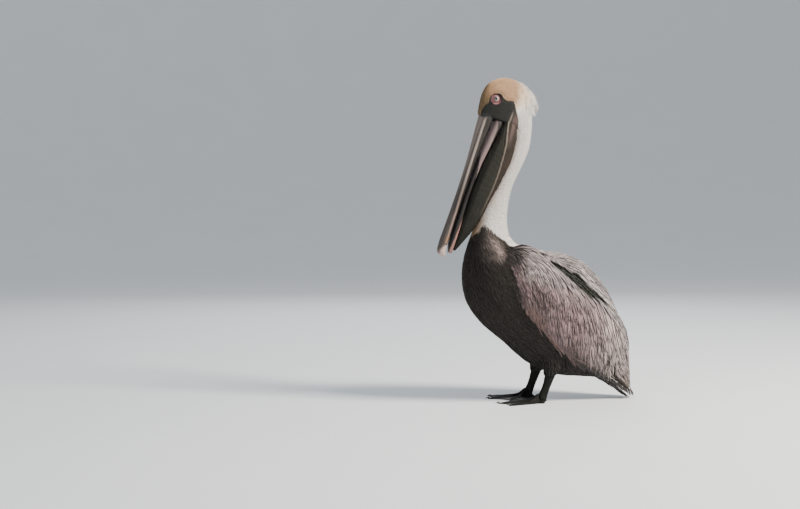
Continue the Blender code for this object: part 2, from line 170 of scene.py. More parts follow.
def mesh_object(name: str, verts: np.ndarray, faces: np.ndarray) -> bpy.types.Object:
    """Make an object from arrays, smooth shaded.

    Args:
        name: The piece's name.
        verts: One row for each corner.
        faces: One row of corner numbers for each face, three or four.

    Returns:
        The new object, linked to the scene.
    """
    mesh = bpy.data.meshes.new(name)
    count, sides = faces.shape
    mesh.vertices.add(len(verts))
    mesh.vertices.foreach_set("co", np.ascontiguousarray(verts, np.float32).ravel())
    mesh.loops.add(count * sides)
    mesh.loops.foreach_set("vertex_index", faces.astype(np.int32).ravel())
    mesh.polygons.add(count)
    mesh.polygons.foreach_set("loop_start", np.arange(0, count * sides, sides, dtype=np.int32))
    mesh.update(calc_edges=True)
    mesh.polygons.foreach_set("use_smooth", np.ones(count, bool))
    obj = bpy.data.objects.new(name, mesh)
    bpy.context.scene.collection.objects.link(obj)
    return obj


def read(
    items: bpy.types.bpy_prop_collection, field: str, width: int, kind: type = np.float32
) -> np.ndarray:
    """Read one field of a mesh's corners, edges, loops or triangles.

    Args:
        items: All the items of one sort.
        field: The field's name.
        width: How many numbers each item has there.
        kind: The numbers' type.

    Returns:
        One row for each item, or one number where the width is 1.
    """
    values = np.empty(len(items) * width, kind)
    items.foreach_get(field, values)
    return values.reshape(-1, width) if width > 1 else values


def corners_of(mesh: bpy.types.Mesh) -> np.ndarray:
    """Return the mesh's corners as rows."""
    return read(mesh.vertices, "co", 3).astype(float)


def normals_of(mesh: bpy.types.Mesh) -> np.ndarray:
    """Return the mesh's corner normals as rows."""
    return read(mesh.vertex_normals, "vector", 3).astype(float)


def place_corners(mesh: bpy.types.Mesh, co: np.ndarray) -> None:
    """Move the mesh's corners to these places."""
    mesh.vertices.foreach_set("co", co.astype(np.float32).ravel())


def store(mesh: bpy.types.Mesh, name: str, values: np.ndarray) -> None:
    """Keep a value, vector or, as the tint, a colour for each corner.

    Args:
        mesh: The mesh.
        name: The attribute's name.
        values: One value or row for each corner.
    """
    values = np.asarray(values, np.float32)
    kind, field = ("FLOAT", "value") if values.ndim == 1 else ("FLOAT_VECTOR", "vector")
    if name == "tint":
        kind, field = "FLOAT_COLOR", "color"
        values = np.concatenate([values, np.ones((len(values), 1), np.float32)], axis=1)
    mesh.attributes.new(name, kind, "POINT").data.foreach_set(field, values.ravel())


def store_map(mesh: bpy.types.Mesh, uv: np.ndarray) -> None:
    """Give the mesh its baking map from one place for each corner.

    Args:
        mesh: The mesh.
        uv: One place for each corner.
    """
    layer = mesh.uv_layers.new(name=BAKING_MAP)
    index = read(mesh.loops, "vertex_index", 1, np.int32)
    layer.data.foreach_set("uv", np.clip(uv[index], 0.0, 1.0).astype(np.float32).ravel())


def apply(obj: bpy.types.Object, kind: str, **settings: object) -> None:
    """Add a modifier to the object, set it and apply it.

    Args:
        obj: The object.
        kind: The modifier's type.
        **settings: The modifier's settings.
    """
    pick(obj)
    modifier = obj.modifiers.new(kind.title(), kind)
    for key, value in settings.items():
        setattr(modifier, key, value)
    bpy.ops.object.modifier_apply(modifier=modifier.name)


def point_out(obj: bpy.types.Object, merge: float = 0.0) -> None:
    """Turn a closed mesh's faces outwards, after merging its doubles where a distance is given.

    Args:
        obj: The object.
        merge: The distance, or 0 to merge nothing.
    """
    pick(obj)
    bpy.ops.object.mode_set(mode="EDIT")
    bpy.ops.mesh.select_all(action="SELECT")
    if merge:
        bpy.ops.mesh.remove_doubles(threshold=merge)
    bpy.ops.mesh.normals_make_consistent(inside=False)
    bpy.ops.object.mode_set(mode="OBJECT")


def edit_only(items: bpy.types.bpy_prop_collection, kind: str, chosen: np.ndarray) -> None:
    """Select just the chosen corners or faces of the active mesh, and stay in edit mode.

    Args:
        items: The mesh's corners or faces.
        kind: VERT or FACE.
        chosen: Which of them.
    """
    bpy.ops.object.mode_set(mode="EDIT")
    bpy.ops.mesh.select_mode(type=kind)
    bpy.ops.mesh.select_all(action="DESELECT")
    bpy.ops.object.mode_set(mode="OBJECT")
    items.foreach_set("select", chosen)
    bpy.ops.object.mode_set(mode="EDIT")


def wear(obj: bpy.types.Object, material: bpy.types.Material, slot: str, *nodes: str) -> None:
    """Dress a piece and let it ride the body.

    Args:
        obj: The piece.
        material: Its material.
        slot: The record's material slot that it belongs to; not used.
        *nodes: The packed solids that it stands for.
    """
    obj.data.materials.append(material)
    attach(obj, BODY)
    if nodes:
        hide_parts(*nodes)
    LOG.info("%s: %d faces", obj.name, len(obj.data.polygons))


def neighbours_mean(values: np.ndarray, edges: np.ndarray, rounds: int, hold: float) -> np.ndarray:
    """Smooth values over a mesh by averaging along its edges.

    Args:
        values: One row for each corner.
        edges: Two corner numbers for each edge.
        rounds: How often.
        hold: Share of its own value that a corner keeps each time.

    Returns:
        The smoothed values.
    """
    values = np.array(values, float)
    count = np.zeros(len(values))
    np.add.at(count, edges[:, 0], 1)
    np.add.at(count, edges[:, 1], 1)
    count = np.maximum(count, 1)
    for _ in range(rounds):
        total = np.zeros_like(values)
        np.add.at(total, edges[:, 0], values[edges[:, 1]])
        np.add.at(total, edges[:, 1], values[edges[:, 0]])
        mean = (total.T / count).T
        values = hold * values + (1 - hold) * mean
    return values


def edges_of(mesh: bpy.types.Mesh) -> np.ndarray:
    """Return the mesh's edges as pairs of corner numbers."""
    return read(mesh.edges, "vertices", 2, np.int32)


class Form:
    """The surface of some packed solids, or of a mesh, that can be asked for its nearest places."""

    def __init__(self, *names: str, mesh: bpy.types.Mesh | None = None) -> None:
        """Read the nodes of these names, or the one mesh.

        Args:
            *names: The nodes.
            mesh: The mesh, or None.
        """
        meshes = [mesh] if mesh else [frame["nodes"][name].data for name in names]
        verts: list = []
        faces: list = []
        self.owner: list = []
        for number, part in enumerate(meshes):
            start = len(verts)
            verts += [v.co.copy() for v in part.vertices]
            faces += [[start + i for i in p.vertices] for p in part.polygons]
            self.owner += [number] * len(part.polygons)
        self.owner = np.array(self.owner)
        self.tree = BVHTree.FromPolygons(verts, faces)

    def nearest(self, points: np.ndarray) -> tuple[np.ndarray, np.ndarray, np.ndarray]:
        """Return the nearest place, its normal and its face for each point.

        Args:
            points: The places.

        Returns:
            Three arrays, with one row or number for each point.
        """
        place = np.empty((len(points), 3))
        normal = np.empty((len(points), 3))
        face = np.empty(len(points), int)
        find = self.tree.find_nearest
        for i, p in enumerate(points):
            hit = find(p)
            place[i], normal[i], face[i] = hit[0], hit[1], hit[2]
        return place, normal, face

    def ray(self, origin: np.ndarray, way: np.ndarray, reach: float = 1.0) -> float:
        """Return how far a ray goes until it meets the surface, or NaN."""
        hit = self.tree.ray_cast(Vector(origin), Vector(way), reach)
        return hit[3] if hit[0] is not None else math.nan


# ---------------------------------------------------------------- shader sums
class Sock:
    """One output of a material's nodes, which can be used in sums."""

    def __init__(self, tree: bpy.types.NodeTree, socket: bpy.types.NodeSocket) -> None:
        """Wrap an output socket."""
        self.tree = tree
        self.socket = socket

    def sum_with(self, operation: str, *values: object) -> "Sock":
        """Add a Math node that works on some values, in their order.

        Args:
            operation: The node's operation.
            *values: Socks or numbers.

        Returns:
            The node's output.
        """
        node = self.tree.nodes.new("ShaderNodeMath")
        node.operation = operation
        for slot, value in zip(node.inputs, values):
            if isinstance(value, Sock):
                self.tree.links.new(value.socket, slot)
            else:
                slot.default_value = value
        return Sock(self.tree, node.outputs[0])

    def __add__(self, other: object) -> "Sock":
        """Add."""
        return self.sum_with("ADD", self, other)

    __radd__ = __add__

    def __sub__(self, other: object) -> "Sock":
        """Subtract."""
        return self.sum_with("SUBTRACT", self, other)

    def __rsub__(self, other: object) -> "Sock":
        """Subtract from a number."""
        return self.sum_with("SUBTRACT", other, self)

    def __mul__(self, other: object) -> "Sock":
        """Multiply."""
        return self.sum_with("MULTIPLY", self, other)

    __rmul__ = __mul__

    def __abs__(self) -> "Sock":
        """Drop the sign."""
        return self.sum_with("ABSOLUTE", self)

    def sine(self) -> "Sock":
        """Return the sine."""
        return self.sum_with("SINE", self)

    def step(self, low: float, high: float) -> "Sock":
        """Return a smooth step from 0 at low to 1 at high.

        Args:
            low: Where the step starts.
            high: Where it ends.

        Returns:
            The step.
        """
        node = self.tree.nodes.new("ShaderNodeMapRange")
        node.interpolation_type = "SMOOTHSTEP"
        self.tree.links.new(self.socket, node.inputs[0])
        node.inputs[1].default_value = low
        node.inputs[2].default_value = high
        return Sock(self.tree, node.outputs[0])


class Paint:
    """One material and the making of its nodes."""

    def __init__(self, name: str) -> None:
        """Start an empty material.

        Args:
            name: The material's name.
        """
        self.material = bpy.data.materials.new(name)
        self.material.use_nodes = True
        self.tree = self.material.node_tree
        self.tree.nodes.clear()

    def node(
        self, kind: str, settings: dict | None = None, inputs: dict | None = None, out: int | str = 0
    ) -> Sock:
        """Add any node.

        Args:
            kind: The node's type, without its leading "ShaderNode".
            settings: The node's own settings.
            inputs: Values or socks by the name or number of the node's input.
            out: Which output is wanted.

        Returns:
            That output.
        """
        node = self.tree.nodes.new("ShaderNode" + kind)
        for key, value in (settings or {}).items():
            setattr(node, key, value)
        for key, value in (inputs or {}).items():
            slot = node.inputs[key]
            if isinstance(value, Sock):
                self.tree.links.new(value.socket, slot)
            elif slot.type == "RGBA" and len(value) == 3:
                slot.default_value = (*value, 1.0)
            else:
                slot.default_value = value
        return Sock(self.tree, node.outputs[out])

    def place(self) -> Sock:
        """Return the place on the object, in metres."""
        return self.node("TexCoord", out="Object")

    def stored(self, name: str, out: str = "Vector") -> Sock:
        """Return an attribute of the mesh."""
        return self.node("Attribute", {"attribute_name": name}, out=out)

    def parts(self, vector: Sock) -> tuple[Sock, Sock, Sock]:
        """Split a vector in three.

        Args:
            vector: The vector.

        Returns:
            Its x, y and z.
        """
        first = self.node("SeparateXYZ", None, {0: vector})
        outs = first.socket.node.outputs
        return first, Sock(self.tree, outs[1]), Sock(self.tree, outs[2])

    def joined(self, x: object, y: object, z: object) -> Sock:
        """Make a vector of three values."""
        return self.node("CombineXYZ", None, {0: x, 1: y, 2: z})

    def noise(self, where: Sock, scale: float, detail: float = 3.0, rough: float = 0.55) -> Sock:
        """Return cloudy noise from 0 to 1."""
        inputs = {"Vector": where, "Scale": scale, "Detail": detail, "Roughness": rough}
        return self.node("TexNoise", None, inputs)

    def cells(self, where: Sock, scale: float) -> Sock:
        """Return how far each place lies from the edges of a pattern of cells."""
        settings = {"feature": "DISTANCE_TO_EDGE"}
        return self.node("TexVoronoi", settings, {"Vector": where, "Scale": scale})

    def mix(self, share: object, a: object, b: object) -> Sock:
        """Mix two colours by a share."""
        settings = {"data_type": "RGBA", "blend_type": "MIX", "clamp_factor": True}
        return self.node("Mix", settings, {0: share, 6: a, 7: b}, out=2)

    def shade(self, colour: Sock, by: Sock) -> Sock:
        """Make a colour lighter or darker by a value."""
        return self.node("VectorMath", {"operation": "SCALE"}, {0: colour, "Scale": by})

    def bump(self, height: Sock, strength: float, depth: float) -> Sock:
        """Return the normal of a surface with this height on it."""
        return self.node("Bump", None, {"Height": height, "Strength": strength, "Distance": depth})

    def finish(self, **inputs: object) -> bpy.types.Material:
        """Close the material with one Principled shader.

        Args:
            **inputs: The shader's inputs, with underscores for spaces.

        Returns:
            The finished material.
        """
        named = {key.replace("_", " "): value for key, value in inputs.items()}
        shader = self.node("BsdfPrincipled", None, named)
        out = self.tree.nodes.new("ShaderNodeOutputMaterial")
        self.tree.links.new(shader.socket, out.inputs[0])
        return self.material


# ---------------------------------------------------------------- finishes
@dataclass(frozen=True)
class FeatherFinish:
    """How one kind of feather is coloured across and along its vane."""

    name: str
    edge: float = 0.0
    edge_from: float = 0.45
    shaft: float = 0.0
    tip: float = 0.0
    # root: painted shade at each feather's base, under the feathers that overlap it
    root: float = -0.25
    variation: float = 0.3
    barbs: float = 60.0
    barb_depth: float = 0.0003
    roughness: float = 0.72
    sheen: float = 0.15

    def make(self) -> bpy.types.Material:
        """Return the material; edge, shaft, tip and root say how much lighter those parts are, and a darker
        root is painted shade under the overlapping feathers.

        Returns:
            The material.
        """
        p = Paint(self.name)
        along, across, chance = p.parts(p.stored("vane"))
        off = abs(across)
        grain = p.noise(p.place(), 420.0, 2.0)
        value = ((chance - 0.5) * self.variation + 1.0) * (grain * 0.3 + 0.85)
        # Painted shade towards each feather's base.
        value = value * ((1 - along.step(0.0, 0.6)) * self.root + 1.0)
        if self.edge:
            wobble = off + (p.noise(p.place(), 260.0, 1.0) - 0.5) * 0.5
            value = value * (wobble.step(self.edge_from, 0.95) * self.edge + 1.0)
        if self.shaft:
            value = value * ((1 - off.step(0.02, 0.24)) * self.shaft + 1.0)
        if self.tip:
            value = value * (along.step(0.78, 1.0) * self.tip + 1.0)
        barb = ((off * 0.35 - along) * (self.barbs * 2 * math.pi)).sine()
        return p.finish(
            Base_Color=p.shade(p.stored("tint", "Color"), value),
            Roughness=grain * 0.2 + (self.roughness - 0.1), Normal=p.bump(barb, 0.5, self.barb_depth),
            Sheen_Weight=self.sheen, Sheen_Roughness=0.4, Specular_IOR_Level=0.12,
        )


@dataclass(frozen=True)
class SkinFinish:
    """Skin under the plumage, and the bare skin of the face."""

    name: str = "body_skin"
    roughness: float = 0.62

    def make(self) -> bpy.types.Material:
        """Return the material.

        Returns:
            The material.
        """
        p = Paint(self.name)
        place = p.place()
        bare = p.stored("bare", "Fac")
        mottle = p.noise(place, 160.0, 5.0)
        colour = p.shade(p.stored("tint", "Color"), mottle * 0.5 + 0.75)
        wrinkle = p.noise(place, 900.0, 3.0)
        pores = p.cells(place, 1100.0)
        height = wrinkle * 0.6 + pores * 0.4
        normal = p.bump(height, 0.6, 0.0008)
        rough = self.roughness - bare * 0.17 + (mottle - 0.5) * 0.2
        return p.finish(Base_Color=colour, Roughness=rough, Normal=normal, Specular_IOR_Level=0.2)


@dataclass(frozen=True)
class HornFinish:
    """Streaky horn of the bill, whose streaks run along it."""

    name: str
    roughness: float = 0.42
    streak: float = 0.5
    broad: float = 0.5

    def make(self) -> bpy.types.Material:
        """Return the material.

        Returns:
            The material.
        """
        p = Paint(self.name)
        along, around, _ = p.parts(p.stored("lie"))
        fine = p.noise(p.joined(along * 14.0, around * 900.0, 0.0), 1.0, 4.0)
        broad = p.noise(p.joined(along * 40.0, around * 160.0, 3.0), 1.0, 3.0)
        spots = p.noise(p.place(), 240.0, 4.0)
        value = (fine - 0.5) * self.streak + (broad - 0.5) * self.broad + (spots - 0.5) * 0.35 + 1.0
        colour = p.shade(p.stored("tint", "Color"), value)
        normal = p.bump(fine * 0.6 + spots * 0.4, 0.45, 0.0006)
        rough = spots * 0.3 + (self.roughness - 0.15)
        return p.finish(Base_Color=colour, Roughness=rough, Normal=normal, Specular_IOR_Level=0.3)


@dataclass(frozen=True)
class HideFinish:
    """Leathery bare skin: the pouch, legs and webs."""

    name: str
    scales: float
    fold_scale: float
    roughness: float = 0.5
    depth: float = 0.0004
    shine: float = 0.10

    def make(self) -> bpy.types.Material:
        """Return the material.

        Returns:
            The material.
        """
        p = Paint(self.name)
        place = p.place()
        along, around, _ = p.parts(p.stored("lie"))
        folds = p.noise(p.joined(along * 9.0, around * self.fold_scale, 0.0), 1.0, 4.0)
        cells = p.cells(place, self.scales).step(0.0, 0.3)
        mottle = p.noise(place, 130.0, 3.0)
        value = (mottle - 0.5) * 0.8 + (folds - 0.5) * 0.5 + 0.9 + cells * 0.15
        colour = p.shade(p.stored("tint", "Color"), value)
        normal = p.bump(cells * 0.6 + folds * 0.5 + mottle * 0.3, 0.6, self.depth)
        rough = mottle * 0.3 + (self.roughness - 0.15)
        return p.finish(Base_Color=colour, Roughness=rough, Normal=normal, Specular_IOR_Level=self.shine)


@dataclass(frozen=True)
class EyeFinish:
    """Iris and pupil of the eyeball."""

    name: str = "eyeball"

    def make(self) -> bpy.types.Material:
        """Return the material.

        Returns:
            The material.
        """
        p = Paint(self.name)
        out, around, _ = p.parts(p.stored("lie"))
        rays = p.noise(p.joined(around * 60.0, out * 6.0, 0.0), 1.0, 3.0)
        pale = p.mix(rays, (0.25, 0.185, 0.155), (0.50, 0.42, 0.37))
        rim = p.mix(out.step(0.44, 0.60), pale, (0.09, 0.050, 0.042))
        colour = p.mix(1 - out.step(0.29, 0.33), rim, (0.004, 0.004, 0.004))
        return p.finish(Base_Color=colour, Roughness=0.06, Coat_Weight=0.6, Specular_IOR_Level=0.6)


@dataclass(frozen=True)
class FloorFinish:
    """The pale studio floor."""

    name: str = "studio_floor"

    def make(self) -> bpy.types.Material:
        """Return the material.

        Returns:
            The material.
        """
        p = Paint(self.name)
        cloud = p.noise(p.place(), 3.0, 3.0)
        colour = p.mix(cloud, (0.66, 0.68, 0.70), (0.70, 0.72, 0.74))
        return p.finish(Base_Color=colour, Roughness=0.75, Specular_IOR_Level=0.2)


# ---------------------------------------------------------------- the bird's tracts
class Tract(Enum):
    """Parts of the plumage, by the packed solids that they cover."""

    HEAD = ("head", "crest")
    NECK = ("neck_upper", "neck_lower")
    TRUNK = ("trunk",)
    MANTLE = ("mantle",)
    WING = ("wing_left", "wing_right")
    THIGH = ("thigh_left", "thigh_right")
    WING_TIP = ("wing_tip_left", "wing_tip_right")
    TAIL = ("tail",)


TRACTS = list(Tract)
PLUMED = [name for tract in Tract for name in tract.value]
FLESH = [n for n in PLUMED if n not in ("crest", *Tract.WING_TIP.value, *Tract.TAIL.value)]


@dataclass
class Landmarks:
    """Places on the bird that its markings and feather lie are measured from."""

    def __post_init__(self) -> None:
        """Read the places from the frame."""
        self.eye = np.array(sum(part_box("eye_left"), Vector())) / 2
        low, high = (np.array(v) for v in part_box("head"))
        self.head_low, self.head_high = low, high
        back, up = low[1] * 0.34 + high[1] * 0.66 - 0.012, low[2] * 0.64 + high[2] * 0.36
        self.head_centre = np.array([0.0, back, up])
        self.neck_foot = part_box("neck_lower")[0].z

    def from_eye(self, points: np.ndarray) -> tuple[np.ndarray, np.ndarray]:
        """Return how far back and how far up from the eye each point lies, on its own side."""
        return points[:, 1] - self.eye[1], points[:, 2] - self.eye[2]

    def over_head(self, points: np.ndarray) -> np.ndarray:
        """Return how far over the head each point lies, in degrees: 0 before it, 90 above, 180 behind.

        Args:
            points: The places.

        Returns:
            One angle for each point.
        """
        r = points - self.head_centre
        turn = np.degrees(np.arctan2(r[:, 2], -r[:, 1]))
        return np.where(turn < -90, turn + 360, turn)


# The furrow above the folded wing: place along the body, height and half width.
GROOVE = np.array(
    [
        (0.0070, 0.3153, 0.0015), (0.0255, 0.3052, 0.0040), (0.0417, 0.2930, 0.0065),
        (0.0579, 0.2807, 0.0075), (0.0741, 0.2749, 0.0115), (0.0928, 0.2548, 0.0125),
        (0.1045, 0.2436, 0.0100), (0.1162, 0.2412, 0.0058), (0.1279, 0.2344, 0.0050),
        (0.1467, 0.2185, 0.0030),
    ]
)

# Outline of the bare face, as (back, up) from the eye: round the eye and down to bill and pouch.
BARE_FACE = np.array(
    [
        (-0.040, -0.060), (-0.0335, -0.0325), (-0.0235, -0.0140), (-0.0163, -0.0085),
        (-0.0135, 0.0040), (-0.0049, 0.0120), (0.0060, 0.0125), (0.0115, 0.0095), (0.0165, 0.0015),
        (0.0230, -0.0034), (0.0386, -0.0042), (0.0418, -0.0129), (0.0456, -0.0282),
        (0.0518, -0.0450), (0.0538, -0.0800), (-0.04, -0.12),
    ]
)

# The line where the white neck meets the dark breast: place along the body and height.
NECK_EDGE = np.array(
    [
        (-0.165, 0.360), (-0.1545, 0.3645), (-0.146, 0.3700), (-0.138, 0.380), (-0.128, 0.3925),
        (-0.1206, 0.4025), (-0.1169, 0.3960), (-0.112, 0.388), (-0.0976, 0.3698), (-0.0792, 0.3439),
        (-0.060, 0.338), (0.0, 0.334),
    ]
)


def inside_outline(u: np.ndarray, v: np.ndarray, outline: np.ndarray) -> np.ndarray:
    """Return how far each place lies inside an outline, negative outside it.

    Args:
        u: First coordinates.
        v: Second coordinates.
        outline: The outline's corners.

    Returns:
        The distance to the outline, positive inside.
    """
    inside = np.zeros(len(u), bool)
    best = np.full(len(u), 1e9)
    for a, b in zip(outline, np.roll(outline, -1, axis=0)):
        crosses = (a[1] > v) != (b[1] > v)
        with np.errstate(divide="ignore", invalid="ignore"):
            at = (b[0] - a[0]) * (v - a[1]) / (b[1] - a[1]) + a[0]
        inside ^= crosses & (u < at)
        way = b - a
        t = np.clip(((u - a[0]) * way[0] + (v - a[1]) * way[1]) / (way @ way), 0, 1)
        best = np.minimum(best, np.hypot(u - a[0] - t * way[0], v - a[1] - t * way[1]))
    return np.where(inside, best, -best)


@dataclass(frozen=True)
class Palette:
    """Colours of skin and plumage, before light and shade, except warm and groove, which carry painted
    shade.
    """

    forehead: tuple = (0.235, 0.155, 0.078)
    crown: tuple = (0.44, 0.265, 0.145)
    cream: tuple = (0.84, 0.68, 0.50)
    white: tuple = (0.95, 0.885, 0.82)
    # warm: painted shade over the neck's front
    warm: tuple = (0.88, 0.715, 0.61)
    foreneck: tuple = (0.38, 0.225, 0.12)
    breast: tuple = (0.019, 0.015, 0.012)
    belly: tuple = (0.019, 0.0155, 0.013)
    plume: tuple = (0.33, 0.258, 0.232)
    shoulder: tuple = (0.013, 0.0105, 0.010)
    covert: tuple = (0.172, 0.116, 0.115)
    covert_low: tuple = (0.168, 0.104, 0.091)
    mantle: tuple = (0.26, 0.228, 0.222)
    # groove: painted shade in the furrow above the folded wing, over dark feathers
    groove: tuple = (0.014, 0.016, 0.011)
    rear: tuple = (0.280, 0.222, 0.212)
    tail: tuple = (0.16, 0.135, 0.12)
    bare: tuple = (0.013, 0.0125, 0.0105)
    ring: tuple = (0.27, 0.120, 0.125)
    jaw: tuple = (0.090, 0.059, 0.051)
    crease: tuple = (0.24, 0.19, 0.155)


class Markings:
    """The bird's colour at any place, the same for skin and feathers."""

    def __init__(self, marks: Landmarks) -> None:
        """Keep the landmarks and the palette."""
        self.marks = marks
        self.colour = {key: np.array(value) for key, value in vars(Palette()).items()}

    def bareness(self, points: np.ndarray) -> np.ndarray:
        """Return how far inside the bare face each point is, in metres.

        Args:
            points: The places.

        Returns:
            One distance for each point.
        """
        back, up = self.marks.from_eye(points)
        depth = inside_outline(back, up, BARE_FACE)
        _, n = BillFrame().measure(points)
        return np.where((np.abs(points[:, 0]) > 0.010) | (n < -0.008), depth, -0.02)

    def head(self, points: np.ndarray) -> np.ndarray:
        """Return the colours of crown, face and nape.

        Args:
            points: The places.

        Returns:
            One colour for each point.
        """
        c = self.colour
        turn = self.marks.over_head(points) + 14 * (value_noise(points, 0.012, 3) - 0.5)
        lock = np.clip(value_noise(points * [1, 1, 0.25], 0.0048, 23) * 2.2 - 0.95, 0, 1)
        lock = lock * ease(88, 112, turn) * ease(176, 150, turn)
        back, up = self.marks.from_eye(points)
        cheek = bump_at(back, 0.022, 0.018) * bump_at(up, 0.012, 0.020)
        cheek = cheek * ease(0.012, 0.022, np.abs(points[:, 0]))
        return painted(
            rows_of(c["forehead"], len(points)),
            (c["crown"], ease(15, 70, turn)),
            (c["cream"], ease(92, 118, turn)),
            (c["white"], ease(118, 150, turn)),
            (c["crown"], 0.8 * lock),
            (c["crown"] * 0.92, 0.85 * cheek),
        )

    def neck(self, points: np.ndarray) -> np.ndarray:
        """Return the colours of the neck: white, with painted shade in warm cream over its front, and a
        buff patch low on its front.

        Args:
            points: The places.

        Returns:
            One colour for each point.
        """
        c = self.colour
        z, y = points[:, 2], points[:, 1]
        middle = np.interp(z, [0.37, 0.42, 0.48, 0.55, 0.62], [-0.095, -0.102, -0.082, -0.052, -0.042])
        # Painted shade over the neck's front, blended in warm cream.
        shade = ease(0.020, -0.014, y - middle) * ease(0.40, 0.46, z)
        front = ease(0.012, -0.012, y - (-0.118 - 0.28 * (0.42 - z)))
        low = ease(0.445, 0.405, z)
        return painted(
            rows_of(c["white"], len(points)), (c["warm"], 0.75 * shade), (c["foreneck"], front * low)
        )

    def dark_line(self, points: np.ndarray) -> np.ndarray:
        """Return how far each point lies below the line where white neck meets dark breast."""
        y = points[:, 1] + 0.006 * (value_noise(points, 0.010, 5) - 0.5)
        return np.interp(y, NECK_EDGE[:, 0], NECK_EDGE[:, 1]) - points[:, 2]

    def trunk(self, points: np.ndarray) -> np.ndarray:
        """Return the colours of breast, belly and flanks, with grey plumes beside the neck.

        Args:
            points: The places.

        Returns:
            One colour for each point.
        """
        c = self.colour
        z, y = points[:, 2], points[:, 1]
        middle = np.interp(z, [0.315, 0.335, 0.355, 0.370], [-0.1115, -0.1080, -0.1110, -0.1160])
        width = np.interp(z, [0.315, 0.340, 0.360], [0.0055, 0.0080, 0.0095])
        beside = ease(0.314, 0.334, z) * ease(0.018, 0.038, np.abs(points[:, 0]))
        plume = bump_at(y, middle, width) * beside * (0.20 + 0.58 * ease(0.382, 0.362, z))
        veil = 0.15 * bump_at(y, middle - 0.014, 0.015) * beside * ease(0.378, 0.360, z)
        streak = self.streaks(points, 20, 0.0032, 9)
        return painted(
            rows_of(c["breast"], len(points)), (c["belly"], ease(0.25, 0.12, z)),
            (c["mantle"] * 0.7, ease(-0.055, -0.035, y) * ease(0.30, 0.32, z)),
            (c["rear"] * 0.8, ease(0.125, 0.150, y) * ease(0.072, 0.088, z)),
            (c["plume"], np.clip((plume + veil) * (0.40 + 0.90 * streak), 0, 1)),
        )

    @staticmethod
    def streaks(points: np.ndarray, slope: float, size: float, seed: int) -> np.ndarray:
        """Return noise drawn out along feathers that hang at a slope, in degrees from the plumb line.

        Args:
            points: The places.
            slope: The slope.
            size: Width of one streak.
            seed: Which of the noises.

        Returns:
            One value for each point.
        """
        cos, sin = math.cos(math.radians(slope)), math.sin(math.radians(slope))
        across = points[:, 1] * cos + points[:, 2] * sin
        along = points[:, 1] * sin - points[:, 2] * cos
        return value_noise(np.stack([points[:, 0] * 0.4, across, along * 0.12], axis=1), size, seed)

    def wing(self, points: np.ndarray) -> np.ndarray:
        """Return the colours of the folded wing.

        Args:
            points: The places.

        Returns:
            One colour for each point.
        """
        c = self.colour
        z, y = points[:, 2], points[:, 1]
        colour = blend(rows_of(c["covert"], len(points)), c["rear"], ease(0.06, 0.15, y))
        tone = self.streaks(points, 9, 0.0042, 21) + 0.6 * self.streaks(points, 9, 0.013, 22)
        colour = colour * (0.30 + 0.90 * tone)[:, None]
        front = -0.062 + 0.62 * (0.262 - z)
        low = ease(0.040, 0.0, y - front) * ease(0.27, 0.22, z)
        high = ease(0.280, 0.315, z + 0.35 * np.maximum(y, 0)) * ease(-0.075, -0.050, y)
        colour = painted(colour, (c["covert_low"], low), (c["mantle"] * 1.20, 0.75 * high))
        colour = colour * (1 - 0.38 * bump_at(y, -0.020, 0.026) * bump_at(z, 0.258, 0.026))[:, None]
        bend = bump_at(y, -0.081, 0.021) * bump_at(z, 0.333, 0.020)
        edge = np.interp(z, [0.238, 0.279, 0.314], [-0.064, -0.080, -0.098])
        bend = np.maximum(bend, bump_at(y, edge, 0.009) * ease(0.225, 0.26, z) * 0.75)
        return blend(colour, c["shoulder"], np.clip(bend * 1.3, 0, 0.93))

    def groove(self, points: np.ndarray) -> tuple[np.ndarray, np.ndarray]:
        """Find the furrow between the folded wing and the mantle, whose dark colour is painted shade over
        dark feathers.

        Args:
            points: The places.

        Returns:
            How deep in the furrow each place is, from 0 to 1, and how far above its line, in metres.
        """
        y, z = points[:, 1], points[:, 2]
        above = (z - np.interp(y, GROOVE[:, 0], GROOVE[:, 1])) * 0.78
        width = np.interp(y, GROOVE[:, 0], GROOVE[:, 2])
        ragged = 0.75 + 0.8 * value_noise(points * [1, 1, 0.5], 0.006, 41)
        width = width * np.where(above < 0, ragged, 1.0)
        ends = ease(GROOVE[0, 0] - 0.004, GROOVE[0, 0] + 0.006, y)
        ends *= ease(GROOVE[-1, 0] + 0.006, GROOVE[-1, 0] - 0.004, y)
        side = ease(0.028, 0.040, np.abs(points[:, 0]))
        return ease(1.25, 0.65, np.abs(above) / width) * ends * side, above

    def mantle(self, points: np.ndarray) -> np.ndarray:
        """Return the colours of the mantle and long shoulder feathers."""
        tone = self.streaks(points, 50, 0.0045, 33) + 0.5 * self.streaks(points, 50, 0.012, 34)
        return rows_of(self.colour["mantle"], len(points)) * (0.35 + 0.9 * tone)[:, None]

    def at(self, points: np.ndarray, tract: np.ndarray) -> np.ndarray:
        """Return the colour at each point.

        Args:
            points: The places.
            tract: The number of each place's tract.

        Returns:
            One colour for each point.
        """
        colour = np.zeros((len(points), 3))
        makers = {
            Tract.HEAD: self.head, Tract.NECK: self.neck, Tract.TRUNK: self.trunk,
            Tract.MANTLE: self.mantle, Tract.WING: self.wing, Tract.THIGH: self.trunk,
            Tract.WING_TIP: self.wing, Tract.TAIL: lambda p: rows_of(self.colour["tail"], len(p)),
        }
        for number, key in enumerate(TRACTS):
            here = tract == number
            if here.any():
                colour[here] = makers[key](points[here])
        below = self.dark_line(points)
        necks = (tract == TRACTS.index(Tract.NECK)) | (tract == TRACTS.index(Tract.TRUNK))
        dark = ease(-0.0015, 0.0025, below)
        mixed = blend(self.neck(points), self.trunk(points), dark)
        return np.where(necks[:, None], mixed, colour)


